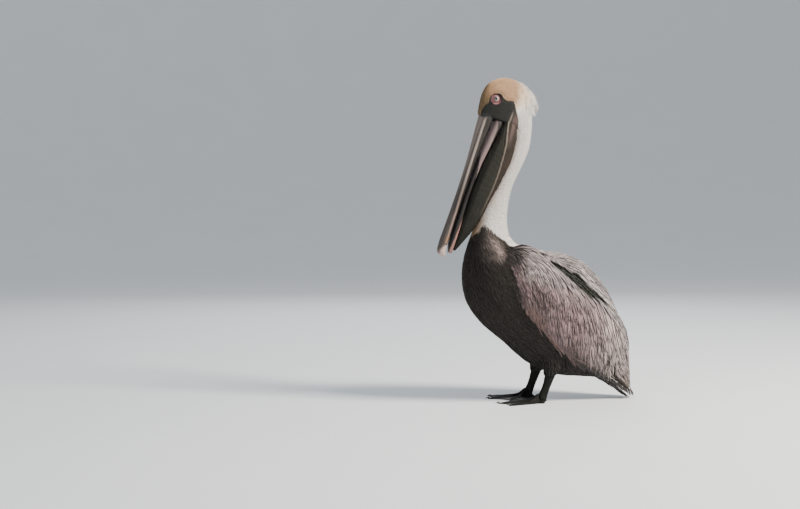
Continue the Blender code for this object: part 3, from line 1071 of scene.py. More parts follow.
# ---------------------------------------------------------------- skin
@dataclass
class Skin:
    """The one skin of the body, from the crown to the rump and down to the thighs."""

    marks: Landmarks
    markings: Markings
    merge: float = 0.00001
    voxel: float = 0.003
    swell: float = 0.0006
    coat_depth: float = 0.0040
    fine_depth: float = 0.0022
    thin_share: float = 0.30
    lid_radius: float = 0.0054
    lid_depth: float = 0.0008

    def fused(self, name: str, nodes: list[str], rounds: int) -> bpy.types.Object:
        """Fuse copies of packed solids into one closed and smoothed mesh.

        Args:
            name: The new object's name.
            nodes: The solids to fuse.
            rounds: How often it is smoothed.

        Returns:
            The fused object.
        """
        copies = []
        for node in nodes:
            copy = frame["nodes"][node].copy()
            copy.data = copy.data.copy()
            copy.parent = None
            for key in [k for k in copy.keys() if k.startswith("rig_")]:
                del copy[key]
            bpy.context.scene.collection.objects.link(copy)
            point_out(copy, self.merge)
            apply(copy, "DISPLACE", strength=self.swell, mid_level=0.0)
            copies.append(copy)
        pick(*copies)
        bpy.ops.object.join()
        body = bpy.context.view_layer.objects.active
        body.name = name
        body.data.materials.clear()
        apply(body, "REMESH", mode="VOXEL", voxel_size=self.voxel)
        apply(body, "SMOOTH", factor=0.5, iterations=rounds)
        self.keep_largest(body)
        return body

    @staticmethod
    def keep_largest(body: bpy.types.Object) -> None:
        """Drop all but the largest connected part of a mesh.

        Args:
            body: The object.
        """
        bm = bmesh.new()
        bm.from_mesh(body.data)
        left = set(bm.verts)
        best: list = []
        while left:
            start = left.pop()
            group, queue = [start], [start]
            while queue:
                vert = queue.pop()
                for edge in vert.link_edges:
                    other = edge.other_vert(vert)
                    if other in left:
                        left.remove(other)
                        group.append(other)
                        queue.append(other)
            if len(group) > len(best):
                best = group
        keep = set(best)
        bmesh.ops.delete(bm, geom=[v for v in bm.verts if v not in keep], context="VERTS")
        bm.to_mesh(body.data)
        bm.free()

    def refine(self, body: bpy.types.Object, centre: np.ndarray, radius: float) -> None:
        """Cut the faces near both eyes finer.

        Args:
            body: The object.
            centre: The middle of the place, on the left side.
            radius: How far round it.
        """
        pick(body)
        co = corners_of(body.data)
        mirrored = np.abs(co - [0, centre[1], centre[2]])
        near = np.hypot(mirrored[:, 1], mirrored[:, 2]) < radius
        near &= np.abs(co[:, 0]) > 0.006
        edit_only(body.data.vertices, "VERT", near)
        bpy.ops.mesh.subdivide(number_cuts=1, smoothness=0.6)
        bpy.ops.object.mode_set(mode="OBJECT")

    def build(self) -> None:
        """Build, sculpt, colour and dress the skin."""
        whole = self.fused("lie_form", PLUMED, 12)
        self.lie = Form(mesh=whole.data)
        bpy.data.objects.remove(whole)
        body = self.fused("body_skin", [*FLESH, "eye_left", "eye_right"], 14)
        face = self.marks.eye + np.array([0, 0.012, -0.016])
        self.refine(body, face, 0.048)
        self.refine(body, self.marks.eye, 0.017)
        self.refine(body, self.marks.eye, 0.0125)
        self.sculpt(body)
        body.data.update()
        self.mesh = body.data
        self.object = body
        self.co = corners_of(body.data)
        self.no = normals_of(body.data)
        _, _, face_at = self.solids.nearest(self.co)
        self.tract = self.tract_of(face_at)
        self.lay_direction()
        store(body.data, "tint", self.tint_of(self.co))
        store(body.data, "bare", ease(-0.001, 0.002, self.markings.bareness(self.co)))
        body.data.polygons.foreach_set("use_smooth", np.ones(len(body.data.polygons), bool))
        wear(body, SkinFinish().make(), "breast_feathers", *FLESH)

    def tract_of(self, faces: np.ndarray) -> np.ndarray:
        """Return the tract number for faces of the solids.

        Args:
            faces: The faces' numbers.

        Returns:
            One tract number for each face.
        """
        numbers = {name: TRACTS.index(tract) for tract in Tract for name in tract.value}
        table = np.array([numbers[name] for name in PLUMED])
        return table[self.solids.owner[faces]]

    def tint_of(self, points: np.ndarray) -> np.ndarray:
        """Return the skin's colours: the plumage's, with painted shade in the furrow above the wing, and
        the bare face's with its eye ring.

        Args:
            points: The places.

        Returns:
            One colour for each point.
        """
        mark = self.markings
        c = mark.colour
        bare = ease(-0.001, 0.0015, mark.bareness(points))
        furrow, _ = mark.groove(points)
        s, n = BillFrame().measure(points)
        low = bare * ease(-0.034, -0.012, s)
        back, up = self.marks.from_eye(points)
        out = np.hypot(back, up)
        beside = np.abs(points[:, 0]) > 0.012
        wide = np.hypot(back + 0.0006, up + 0.0016) + 0.0012 * (value_noise(points, 0.004, 8) - 0.5)
        ring = ease(0.0118, 0.0094, wide) * beside
        rim = bump_at(out, self.lid_radius + 0.0004, 0.0007) * beside
        # The furrow's colour is painted shade over dark feathers.
        return painted(
            mark.at(points, self.tract) * 0.8, (c["bare"], bare), (c["groove"], furrow),
            (c["jaw"], low * ease(-0.066, -0.074, n) * 0.85),
            (c["crease"], low * bump_at(n, -0.0650, 0.0016) * 0.8),
            (c["ring"], ring * 0.9), (c["ring"] * 0.35, rim * 0.8),
        )

    def sculpt(self, body: bpy.types.Object) -> None:
        """Sink the skin by the coat's depth, and shape lids and folds round the eyes.

        Args:
            body: The fused body.
        """
        self.solids = Form(*PLUMED)
        co, no = corners_of(body.data), normals_of(body.data)
        edges = edges_of(body.data)
        around = Form(mesh=body.data)
        thick = np.array([around.ray(p - n * 1e-4, -n, 0.05) for p, n in zip(co, no)])
        thick = np.nan_to_num(thick, nan=0.05)
        high = ease(self.marks.neck_foot, self.marks.neck_foot + 0.05, co[:, 2])
        depth = self.coat_depth + (self.fine_depth - self.coat_depth) * high
        bare = ease(-0.004, 0.001, self.markings.bareness(co))
        depth = depth * (1 - bare) + 0.0003 * bare + 0.0030 * self.markings.groove(co)[0]
        depth = np.minimum(depth, self.thin_share * thick)
        depth = neighbours_mean(depth, edges, 6, 0.4)
        co = co - no * depth[:, None]
        back, up = self.marks.from_eye(co)
        out = np.hypot(back, up)
        side = np.sign(co[:, 0])
        beside = np.abs(co[:, 0]) > 0.012
        radius = (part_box("eye_left")[1].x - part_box("eye_left")[0].x) / 2
        ball = self.marks.eye[0] + np.sqrt(np.maximum(radius**2 - out**2, 0))
        lid = ball + self.lid_depth * (1 + 0.35 * np.cos((out - self.lid_radius) * 2200))
        over = self.marks.eye[0] + math.sqrt(radius**2 - self.lid_radius**2) - 0.0016
        inner = np.minimum(ball - 0.0012, over)
        x = np.abs(co[:, 0])
        fall = ease(0.0072, 0.0115, out)
        target = np.where(out < self.lid_radius, inner, lid * (1 - fall) + np.minimum(lid, x) * fall)
        target = np.where(out < 0.0072, target, np.maximum(target * (1 - fall) + x * fall, x * fall))
        moved = np.where(out < 0.0125, target, x)
        co[:, 0] = np.where(beside, side * moved, co[:, 0])
        crease = 0.0005 * np.sin(out * 1500) * bump_at(out, 0.0125, 0.005) * ease(0.0085, 0.0105, out)
        folds = 0.0007 * (value_noise(co * [1, 1, 2.2], 0.0045, 14) - 0.5) * bare * ease(0.009, 0.013, out)
        co[:, 0] += np.where(beside, side * (crease * bare + folds), 0)
        place_corners(body.data, co)

    @staticmethod
    def leaning(back: np.ndarray, up: float) -> np.ndarray:
        """Return directions with their own reach backwards and the same reach upwards."""
        return np.stack([np.zeros(len(back)), back, np.full(len(back), up)], axis=1)

    def lay_direction(self) -> None:
        """Work out which way the feathers lie at every corner of the skin."""
        co, no = self.co, self.no
        r = co - self.marks.head_centre
        y, z = co[:, 1], co[:, 2]
        over = unit(np.stack([np.zeros(len(co)), r[:, 2], -r[:, 1]], axis=1)) + [0, 0.25, -0.35]
        neck = self.leaning(np.interp(z, [0.36, 0.42, 0.50, 0.60], [0.35, -0.25, -0.42, -0.22]), -0.96)
        trunk = self.leaning(np.interp(y, [-0.16, 0.0, 0.15], [0.45, 0.80, 0.95]), -0.72)
        mantle = self.leaning(np.interp(y, [-0.05, 0.05, 0.18], [1.0, 0.75, 0.35]), -0.68)
        along = np.interp(y, [-0.09, -0.05, 0.0, 0.05, 0.15], [0.40, 0.24, 0.08, 0.09, 0.14])
        upper = ease(0.0, 0.05, z - np.interp(y, [-0.09, 0.0, 0.1, 0.2], [0.32, 0.29, 0.22, 0.12]))
        wing = self.leaning(along + 0.50 * upper * ease(0.09, 0.02, y), -0.92)
        thigh = rows_of((0.0, -0.10, -1.0), len(co))
        tail = rows_of((0.0, 0.45, -0.9), len(co))
        table = np.stack([over, neck, trunk, mantle, wing, thigh, wing, tail])
        way = unit(table[self.tract, np.arange(len(co))])
        edges = edges_of(self.mesh)
        wings = np.isin(self.tract, [TRACTS.index(Tract.WING), TRACTS.index(Tract.WING_TIP)])
        same = wings[edges[:, 0]] == wings[edges[:, 1]]
        way = neighbours_mean(way, edges[same], 10, 0.4)
        way -= no * dot(way, no)
        self.way = unit(way)

    def face_table(self) -> None:
        """Cut the skin in triangles and keep their corners, areas and tracts for sowing feathers."""
        self.mesh.calc_loop_triangles()
        self.tris = read(self.mesh.loop_triangles, "vertices", 3, np.int32)
        self.tri_loops = read(self.mesh.loop_triangles, "loops", 3, np.int32)
        a, b, c = (self.co[self.tris[:, i]] for i in range(3))
        self.tri_area = np.linalg.norm(np.cross(b - a, c - a), axis=1) / 2
        self.tri_centre = (a + b + c) / 3
        self.tri_tract = self.tract[self.tris[:, 0]]

    def unwrap(self, chosen: np.ndarray | None = None) -> np.ndarray:
        """Unwrap some of the skin's triangles, or all of it, over the whole baking map.

        Args:
            chosen: Which triangles, or None for all.

        Returns:
            One place for each of the mesh's loops.
        """
        pick(self.object)
        polygon = np.ones(len(self.mesh.polygons), bool)
        if chosen is not None:
            polygon[:] = False
            polygon[read(self.mesh.loop_triangles, "polygon_index", 1, np.int32)[chosen]] = True
        edit_only(self.mesh.polygons, "FACE", polygon)
        bpy.ops.uv.smart_project(angle_limit=math.radians(72), island_margin=0.004)
        bpy.ops.object.mode_set(mode="OBJECT")
        return read(self.mesh.uv_layers[BAKING_MAP].data, "uv", 2)


# ---------------------------------------------------------------- feathers
@dataclass(frozen=True)
class Feather:
    """The size and carriage of one kind of feather, in metres."""

    length: float
    width: float
    stations: int = 4
    sides: int = 3
    thickness: float = 0.0006
    camber: float = 0.15
    sink: float = 0.0030
    rise: float = 0.0006
    turn: float = 0.12
    vary: float = 0.18
    ragged: float = 0.0
    blunt: float = 0.8
    lift: float = 0.0
    dip: float = 0.0
    overhang: float = 0.006
    trims: bool = True
    least: float = 0.25


@dataclass
class Sown:
    """Roots of feathers: places on the skin with all that a feather needs to start."""

    place: np.ndarray
    normal: np.ndarray
    way: np.ndarray
    tract: np.ndarray
    uv: np.ndarray

    def only(self, keep: np.ndarray) -> "Sown":
        """Return the roots that keep chooses, as a mask or as numbers in a new order."""
        return Sown(*(getattr(self, k)[keep] for k in ("place", "normal", "way", "tract", "uv")))


class Plumage:
    """Sows feathers on the skin and builds them as joined meshes."""

    face_margin = 0.0003

    def __init__(self, skin: Skin) -> None:
        """Keep the skin and start the dice.

        Args:
            skin: The finished skin.
        """
        self.skin = skin
        self.dice = np.random.default_rng(20)
        self.triangles = 0

    def sow(self, chosen: np.ndarray, spacing: np.ndarray | float) -> Sown:
        """Scatter roots evenly over chosen triangles of the skin.

        Args:
            chosen: Which triangles may carry roots.
            spacing: Least distance between roots, for each triangle or for all.

        Returns:
            The roots.
        """
        skin = self.skin
        uv = skin.unwrap(chosen)
        index = np.flatnonzero(chosen)
        spacing = np.broadcast_to(spacing, len(chosen))
        density = skin.tri_area[index] / spacing[index] ** 2
        tries = int(density.sum() * 3.2)
        pick_at = index[self.dice.choice(len(index), tries, p=density / density.sum())]
        a, b = self.dice.random(tries), self.dice.random(tries)
        flip = a + b > 1
        a[flip], b[flip] = 1 - a[flip], 1 - b[flip]
        weight = np.stack([1 - a - b, a, b], axis=1)
        place = np.einsum("ij,ijk->ik", weight, skin.co[skin.tris[pick_at]])
        near = spacing[pick_at]
        cell = float(near.max())
        key = np.floor(place / cell).astype(int)
        grid: dict = {}
        kept: list = []
        around = [(i, j, k) for i in (-1, 0, 1) for j in (-1, 0, 1) for k in (-1, 0, 1)]
        places, reach = place.tolist(), (near**2).tolist()
        for n, (home, p, limit) in enumerate(zip(key.tolist(), places, reach)):
            clear = True
            for i, j, k in around:
                for q in grid.get((home[0] + i, home[1] + j, home[2] + k), ()):
                    if (p[0] - q[0]) ** 2 + (p[1] - q[1]) ** 2 + (p[2] - q[2]) ** 2 < limit:
                        clear = False
                        break
                if not clear:
                    break
            if clear:
                grid.setdefault(tuple(home), []).append(p)
                kept.append(n)
        kept = np.array(kept)
        tri, weight = pick_at[kept], weight[kept]
        mixed = {
            name: np.einsum("ij,ijk->ik", weight, getattr(skin, name)[skin.tris[tri]])
            for name in ("no", "way")
        }
        root_uv = np.einsum("ij,ijk->ik", weight, uv[skin.tri_loops[tri]])
        normal = unit(mixed["no"])
        way = mixed["way"] - normal * dot(mixed["way"], normal)
        return Sown(place[kept], normal, unit(way), skin.tri_tract[tri], root_uv)

    def spines(
        self, roots: Sown, kind: Feather, length: np.ndarray, turn: np.ndarray, stray: np.ndarray
    ) -> tuple[np.ndarray, np.ndarray, np.ndarray]:
        """Lay each feather's shaft along the body's outer form.

        Args:
            roots: Where the feathers start.
            kind: Their kind.
            length: Each feather's length.
            turn: How far each is turned out of the lie, as a column.
            stray: Each feather's share of its kind's lift, as a column.

        Returns:
            The points of the shafts, the outward directions there, and the share of each feather's
            length after which it leaves the form or meets the furrow above the wing.
        """
        lie = self.skin.lie
        count = len(roots.place)
        reach = np.ones(count)
        furrow, above = self.skin.markings.groove(roots.place)
        high = (above > 0) & (furrow < 0.5)
        side = np.cross(roots.normal, roots.way)
        way = unit(roots.way * np.cos(turn) + side * np.sin(turn))
        place, normal, _ = lie.nearest(roots.place)
        normal = unit(normal + roots.normal)
        points, outs = [], []
        steps = kind.stations - 1
        root_normal = normal
        whole = np.minimum(length / kind.length, 1)[:, None]
        for k in range(kind.stations):
            u = k / steps
            height = -kind.sink + (kind.rise + kind.sink) * u**0.75 + kind.lift * u**2 * stray * whole
            height = height + 0.0004 * (stray - 0.5) * u
            furrow, above = self.skin.markings.groove(place)
            height = height - kind.dip * furrow[:, None]
            met = high & (furrow > 0.4) & (above < 0.010)
            reach = np.where(met, np.minimum(reach, u), reach)
            points.append(place + normal * height)
            outs.append(normal)
            if k == steps:
                break
            ahead = place + way * (length / steps)[:, None]
            near, near_normal, _ = lie.nearest(ahead)
            gap = np.linalg.norm(near - ahead, axis=1)
            on = (dot(near_normal, root_normal)[:, 0] > 0.25) & (gap < 0.5 * length / steps + 0.002)
            reach = np.where(on, reach, np.minimum(reach, u + kind.overhang / length))
            on = on[:, None]
            fallen = ahead - normal * (0.10 * (length / steps)[:, None])
            nxt = np.where(on, near, fallen)
            normal = unit(np.where(on, 0.45 * normal + 0.55 * near_normal, normal))
            way = unit(nxt - place)
            way = unit(way - normal * dot(way, normal) * 0.5)
            place = nxt
        points, outs = np.stack(points, axis=1), np.stack(outs, axis=1)
        for _ in range(2 if kind.stations > 5 else 0):
            mid = (points[:, :-2] + points[:, 2:]) / 2
            points[:, 1:-1] = 0.5 * points[:, 1:-1] + 0.5 * mid
        return points, outs, reach

    def vanes(self, points: np.ndarray, outs: np.ndarray, width: np.ndarray, kind: Feather) -> tuple:
        """Wrap closed vanes round shafts.

        Args:
            points: The shafts' points, feather by feather.
            outs: The outward directions there.
            width: Each feather's full width.
            kind: The feathers' kind.

        Returns:
            Corners, triangles and the (along, across, chance) of each corner.
        """
        count, stations, _ = points.shape
        ahead = unit(np.gradient(points, axis=1))
        side = unit(np.cross(ahead, outs))
        up = unit(np.cross(side, ahead))
        u = np.linspace(0, 1, stations)[1:-1]
        profile = u**0.55 * (1 - u) ** (kind.blunt * 0.62)
        profile = profile / profile.max()
        profile[0] = max(profile[0], 0.35)
        half = profile[None, :] * width[:, None] / 2
        left_rag = 1 + kind.ragged * (self.dice.random((count, stations - 2)) - 0.5)
        right_rag = 1 + kind.ragged * (self.dice.random((count, stations - 2)) - 0.5)
        low = -kind.camber
        ring = [(-1, low, 0), (0, 0, 0.5), (1, low, 0)]
        if kind.sides == 4:
            ring.append((0, 0, -0.5))
        elif kind.sides == 6:
            ring = [
                (-1, low, 0), (-0.5, low * 0.3, 0.35), (0, 0, 0.6), (0.5, low * 0.3, 0.35),
                (1, low, 0), (0, 0, -0.5),
            ]
        sides = len(ring)
        middle = points[:, 1:-1]
        rows = []
        for across, drop, thick in ring:
            rag = left_rag if across < 0 else right_rag
            out = (half * across * rag)[:, :, None] * side[:, 1:-1]
            fall = (half * drop + kind.thickness * thick)[:, :, None] * up[:, 1:-1]
            rows.append(middle + out + fall)
        rings = np.stack(rows, axis=2)
        per = 2 + (stations - 2) * sides
        verts = np.concatenate([points[:, :1], rings.reshape(count, -1, 3), points[:, -1:]], axis=1)
        faces = []
        for i in range(sides):
            j = (i + 1) % sides
            faces.append((0, 1 + j, 1 + i))
            for k in range(stations - 3):
                a, b = 1 + k * sides + i, 1 + k * sides + j
                c, d = b + sides, a + sides
                faces += [(a, b, c), (a, c, d)]
            last = 1 + (stations - 3) * sides
            faces.append((last + i, last + j, per - 1))
        faces = np.array(faces)
        all_faces = (faces[None] + (np.arange(count) * per)[:, None, None]).reshape(-1, 3)
        along = np.concatenate([[0], np.repeat(u, sides), [1]])
        across = np.concatenate([[0], np.tile([r[0] for r in ring], stations - 2), [0]])
        chance = self.dice.random(count)
        vane = np.stack([np.tile(along, count), np.tile(across, count), np.repeat(chance, per)], axis=1)
        return verts.reshape(-1, 3), all_faces, vane, per

    def grow(
        self, name: str, roots: Sown, kind: Feather, finish: FeatherFinish, slot: str,
        size: np.ndarray | None = None, tint: np.ndarray | None = None, replaces: tuple = (),
        cell: float = 0.0,
    ) -> None:
        """Build one piece of the coat.

        Args:
            name: The piece's name.
            roots: Where its feathers start.
            kind: Their kind.
            finish: Their finish.
            slot: The record's material slot.
            size: Each feather's size, as a share of its kind's, or None.
            tint: Each feather's colour, or None for the markings' own.
            replaces: Packed solids that the piece stands for.
            cell: Width of a large feather's place on the baking map, or 0 for a small one's.
        """
        count = len(roots.place)
        size = np.ones(count) if size is None else size
        jitter = 1 + kind.vary * (self.dice.random(count) - 0.5) * 2
        length = kind.length * size * jitter
        width = kind.width * np.sqrt(size) * (1 + 0.3 * kind.vary * self.dice.normal(0, 1, count))
        turn = self.dice.normal(0, kind.turn, count)[:, None]
        stray = self.dice.random(count)[:, None]
        points, outs, reach = self.spines(roots, kind, length, turn, stray)
        if kind.trims and (reach < 1).any():
            length = length * np.clip(reach, kind.least, 1)
            width = width * np.clip(reach, kind.least, 1) ** 0.3
            points, outs, _ = self.spines(roots, kind, length, turn, stray)
        verts, faces, vane, per = self.vanes(points, outs, width, kind)
        verts[:, 2] = np.maximum(verts[:, 2], FLOOR_GAP)
        obj = mesh_object(name, verts, faces)
        if tint is None:
            tint = self.skin.markings.at(roots.place, roots.tract)
        tint = np.repeat(tint, per, axis=0)
        # Painted shade over dark feathers in the furrow above the wing.
        if kind.dip:
            furrow, _ = self.skin.markings.groove(verts)
            tint = blend(tint, self.skin.markings.colour["groove"], furrow)
        store(obj.data, "tint", tint)
        store(obj.data, "vane", vane)
        centre = np.repeat(roots.uv, per, axis=0)
        patch = np.array([cell or PATCH, CELL_LENGTH if cell else PATCH])
        store_map(obj.data, centre + patch * np.stack([vane[:, 1] * 0.5, vane[:, 0] - 0.5], axis=1))
        wear(obj, finish.make(), slot, *replaces)
        self.triangles += len(faces)
        LOG.info("%s: %d feathers", name, count)

    def chosen(self, *tracts: Tract) -> np.ndarray:
        """Return which of the skin's triangles lie in these tracts."""
        return np.isin(self.skin.tri_tract, [TRACTS.index(t) for t in tracts])

    def clear_of_face(self, points: np.ndarray) -> np.ndarray:
        """Return which points are feathered, and not on the bare face."""
        return self.skin.markings.bareness(points) < -self.face_margin

    def build(self) -> None:
        """Grow the whole coat, tract by tract."""
        self.head()
        self.neck()
        self.trunk()
        self.thighs()
        self.wings()
        self.mantle()

    def head(self) -> None:
        """Grow the velvet of the crown, cheeks and nape."""
        skin = self.skin
        here = self.chosen(Tract.HEAD) & self.clear_of_face(skin.tri_centre)
        here &= skin.tri_centre[:, 2] > skin.marks.head_low[2] + 0.004
        roots = self.sow(here, 0.00088)
        roots = roots.only(self.clear_of_face(roots.place))
        kind = Feather(0.0064, 0.00125, sink=0.0016, rise=0.0002, turn=0.11, thickness=0.0003)
        edge = ease(0.0, 0.008, -skin.markings.bareness(roots.place))
        back = ease(skin.marks.eye[1] + 0.03, skin.marks.head_high[1], roots.place[:, 1])
        size = 0.50 + 0.45 * edge + 0.5 * back
        finish = FeatherFinish("crown_feathers", root=-0.2, variation=0.30, barbs=8)
        self.grow("head_feathers", roots, kind, finish, "crown_feathers", size)
        self.crest()

    def crest(self) -> None:
        """Grow the shaggy mane that hangs from the nape."""
        skin, m = self.skin, self.skin.marks
        turn = m.over_head(skin.tri_centre)
        here = self.chosen(Tract.HEAD, Tract.NECK) & (turn > 106) & (turn < 174)
        here &= (np.abs(skin.tri_centre[:, 0]) < 0.021) & (skin.tri_centre[:, 2] > m.head_low[2] + 0.012)
        roots = self.sow(here, 0.0021)
        turn = m.over_head(roots.place)
        middle = bump_at(roots.place[:, 0], 0.0, 0.017)
        size = (0.35 + 0.75 * ease(106, 135, turn) * ease(178, 158, turn)) * (0.45 + 0.55 * middle)
        roots.way = unit(roots.way + 0.10 * roots.normal)
        kind = Feather(
            0.0225, 0.00175, stations=7, sink=0.0018, rise=0.0012, turn=0.13, vary=0.35,
            thickness=0.0005, blunt=1.5, lift=0.0105, ragged=0.3, trims=False,
        )
        c = skin.markings.colour
        tan = np.clip(value_noise(roots.place * [1, 1, 0.4], 0.0050, 51) * 2.4 - 1.35, 0, 0.75)
        tint = blend(rows_of(c["white"], len(roots.place)), c["crown"] * 0.75, tan * ease(172, 140, turn))
        finish = FeatherFinish("crest_feathers", edge=-0.25, root=-0.3, variation=0.3, barbs=10)
        self.grow("crest_plumes", roots, kind, finish, "crown_feathers", size, tint, ("crest",))

    def neck(self) -> None:
        """Grow the short soft feathers of the neck."""
        skin = self.skin
        roots = self.sow(self.chosen(Tract.NECK), 0.00128)
        kind = Feather(0.0125, 0.0021, sink=0.0018, rise=0.0002, turn=0.06, thickness=0.00035)
        dark = skin.markings.dark_line(roots.place) > 0
        finish = FeatherFinish("neck_feathers", root=-0.08, variation=0.12, barbs=8)
        self.grow("neck_feathers", roots.only(~dark), kind, finish, "neck_feathers")
        self.low_neck = roots.only(dark)

    def trunk(self) -> None:
        """Grow the narrow dark feathers of breast, belly, flanks and rump."""
        skin = self.skin
        spacing = np.interp(skin.tri_centre[:, 2], [0.10, 0.36], [0.0036, 0.0022])
        roots = self.sow(self.chosen(Tract.TRUNK), spacing)
        white = skin.markings.dark_line(roots.place) < 0
        kind = Feather(
            0.024, 0.0040, stations=6, sink=0.0034, rise=0.0006, turn=0.09,
            thickness=0.0007, camber=0.2, blunt=1.2,
        )
        size = np.interp(roots.place[:, 2], [0.10, 0.34, 0.37], [1.35, 0.75, 0.6])
        size *= 1 + 1.3 * ease(0.10, 0.17, roots.place[:, 1]) * ease(0.17, 0.12, roots.place[:, 2])
        finish = FeatherFinish("breast_feathers", edge=-0.4, shaft=0.6, variation=0.7, barbs=24, sheen=0.08)
        self.grow("breast_feathers", roots.only(~white), kind, finish, "breast_feathers", size[~white])
        soft = Feather(0.013, 0.0021, sink=0.0022, rise=0.0003, turn=0.08, thickness=0.0004)
        ruff = FeatherFinish("neck_base_feathers", root=-0.15, variation=0.16, barbs=8)
        self.grow("neck_base_feathers", roots.only(white), soft, ruff, "neck_feathers")
        fringe = Feather(0.015, 0.0026, stations=5, sink=0.0022, rise=0.0005, turn=0.10, thickness=0.0005)
        self.grow("foreneck_edge_feathers", self.low_neck, fringe, finish, "breast_feathers")

    def thighs(self) -> None:
        """Grow the short feathers that end above the shank."""
        roots = self.sow(self.chosen(Tract.THIGH), 0.0038)
        kind = Feather(0.018, 0.0048, stations=5, sink=0.0026, blunt=1.0)
        finish = FeatherFinish("thigh_feathers", edge=-0.4, variation=0.5, barbs=18, sheen=0.08)
        tint = self.skin.markings.trunk(roots.place) * 0.8
        self.grow("thigh_feathers", roots, kind, finish, "breast_feathers", tint=tint)

    def wings(self) -> None:
        """Grow the silvery coverts of the folded wings."""
        skin = self.skin
        finish = FeatherFinish(
            "covert_feathers", edge=-0.78, edge_from=0.40, shaft=0.45, tip=-0.3, root=-0.4,
            variation=0.7, barbs=50,
        )
        small = Feather(
            0.034, 0.0050, stations=9, sides=4, sink=0.0034, rise=0.0010, turn=0.045,
            thickness=0.0009, camber=0.22, ragged=0.22, blunt=1.3, vary=0.25, dip=0.0045, lift=0.0012,
        )
        for side, name in ((1, "left"), (-1, "right")):
            here = self.chosen(Tract.WING) & (np.sign(skin.tri_centre[:, 0]) == side)
            y = skin.tri_centre[:, 1]
            spacing = np.interp(y, [-0.09, -0.03, 0.06, 0.18], [0.0026, 0.0034, 0.0042, 0.0046])
            roots = self.sow(here, spacing)
            size = np.interp(roots.place[:, 1], [-0.09, -0.04, 0.03, 0.12], [0.55, 1.0, 1.9, 2.4])
            order = np.argsort(-roots.place[:, 2])
            roots, size = roots.only(order), size[order]
            under = ease(0.0, -0.30, roots.normal[:, 2]) * ease(0.02, 0.08, roots.place[:, 1])
            tint = skin.markings.at(roots.place, roots.tract)
            tint = blend(tint, skin.markings.colour["belly"] * 1.5, under)
            self.grow("wing_coverts_" + name, roots, small, finish, "wing_coverts", size, tint)

    def mantle(self) -> None:
        """Grow the long pointed feathers of the back."""
        roots = self.sow(self.chosen(Tract.MANTLE), 0.0040)
        kind = Feather(
            0.042, 0.0056, stations=9, sides=4, sink=0.0034, rise=0.0012, turn=0.06,
            thickness=0.0009, camber=0.25, ragged=0.22, blunt=1.2, vary=0.25, dip=0.0045, lift=0.0012,
        )
        size = np.interp(roots.place[:, 1], [-0.05, 0.05, 0.15], [0.6, 1.0, 1.5])
        finish = FeatherFinish(
            "mantle_feathers", edge=-0.75, edge_from=0.42, shaft=0.35, root=-0.4, variation=0.6, barbs=50,
        )
        self.grow("mantle_feathers", roots, kind, finish, "wing_coverts", size)


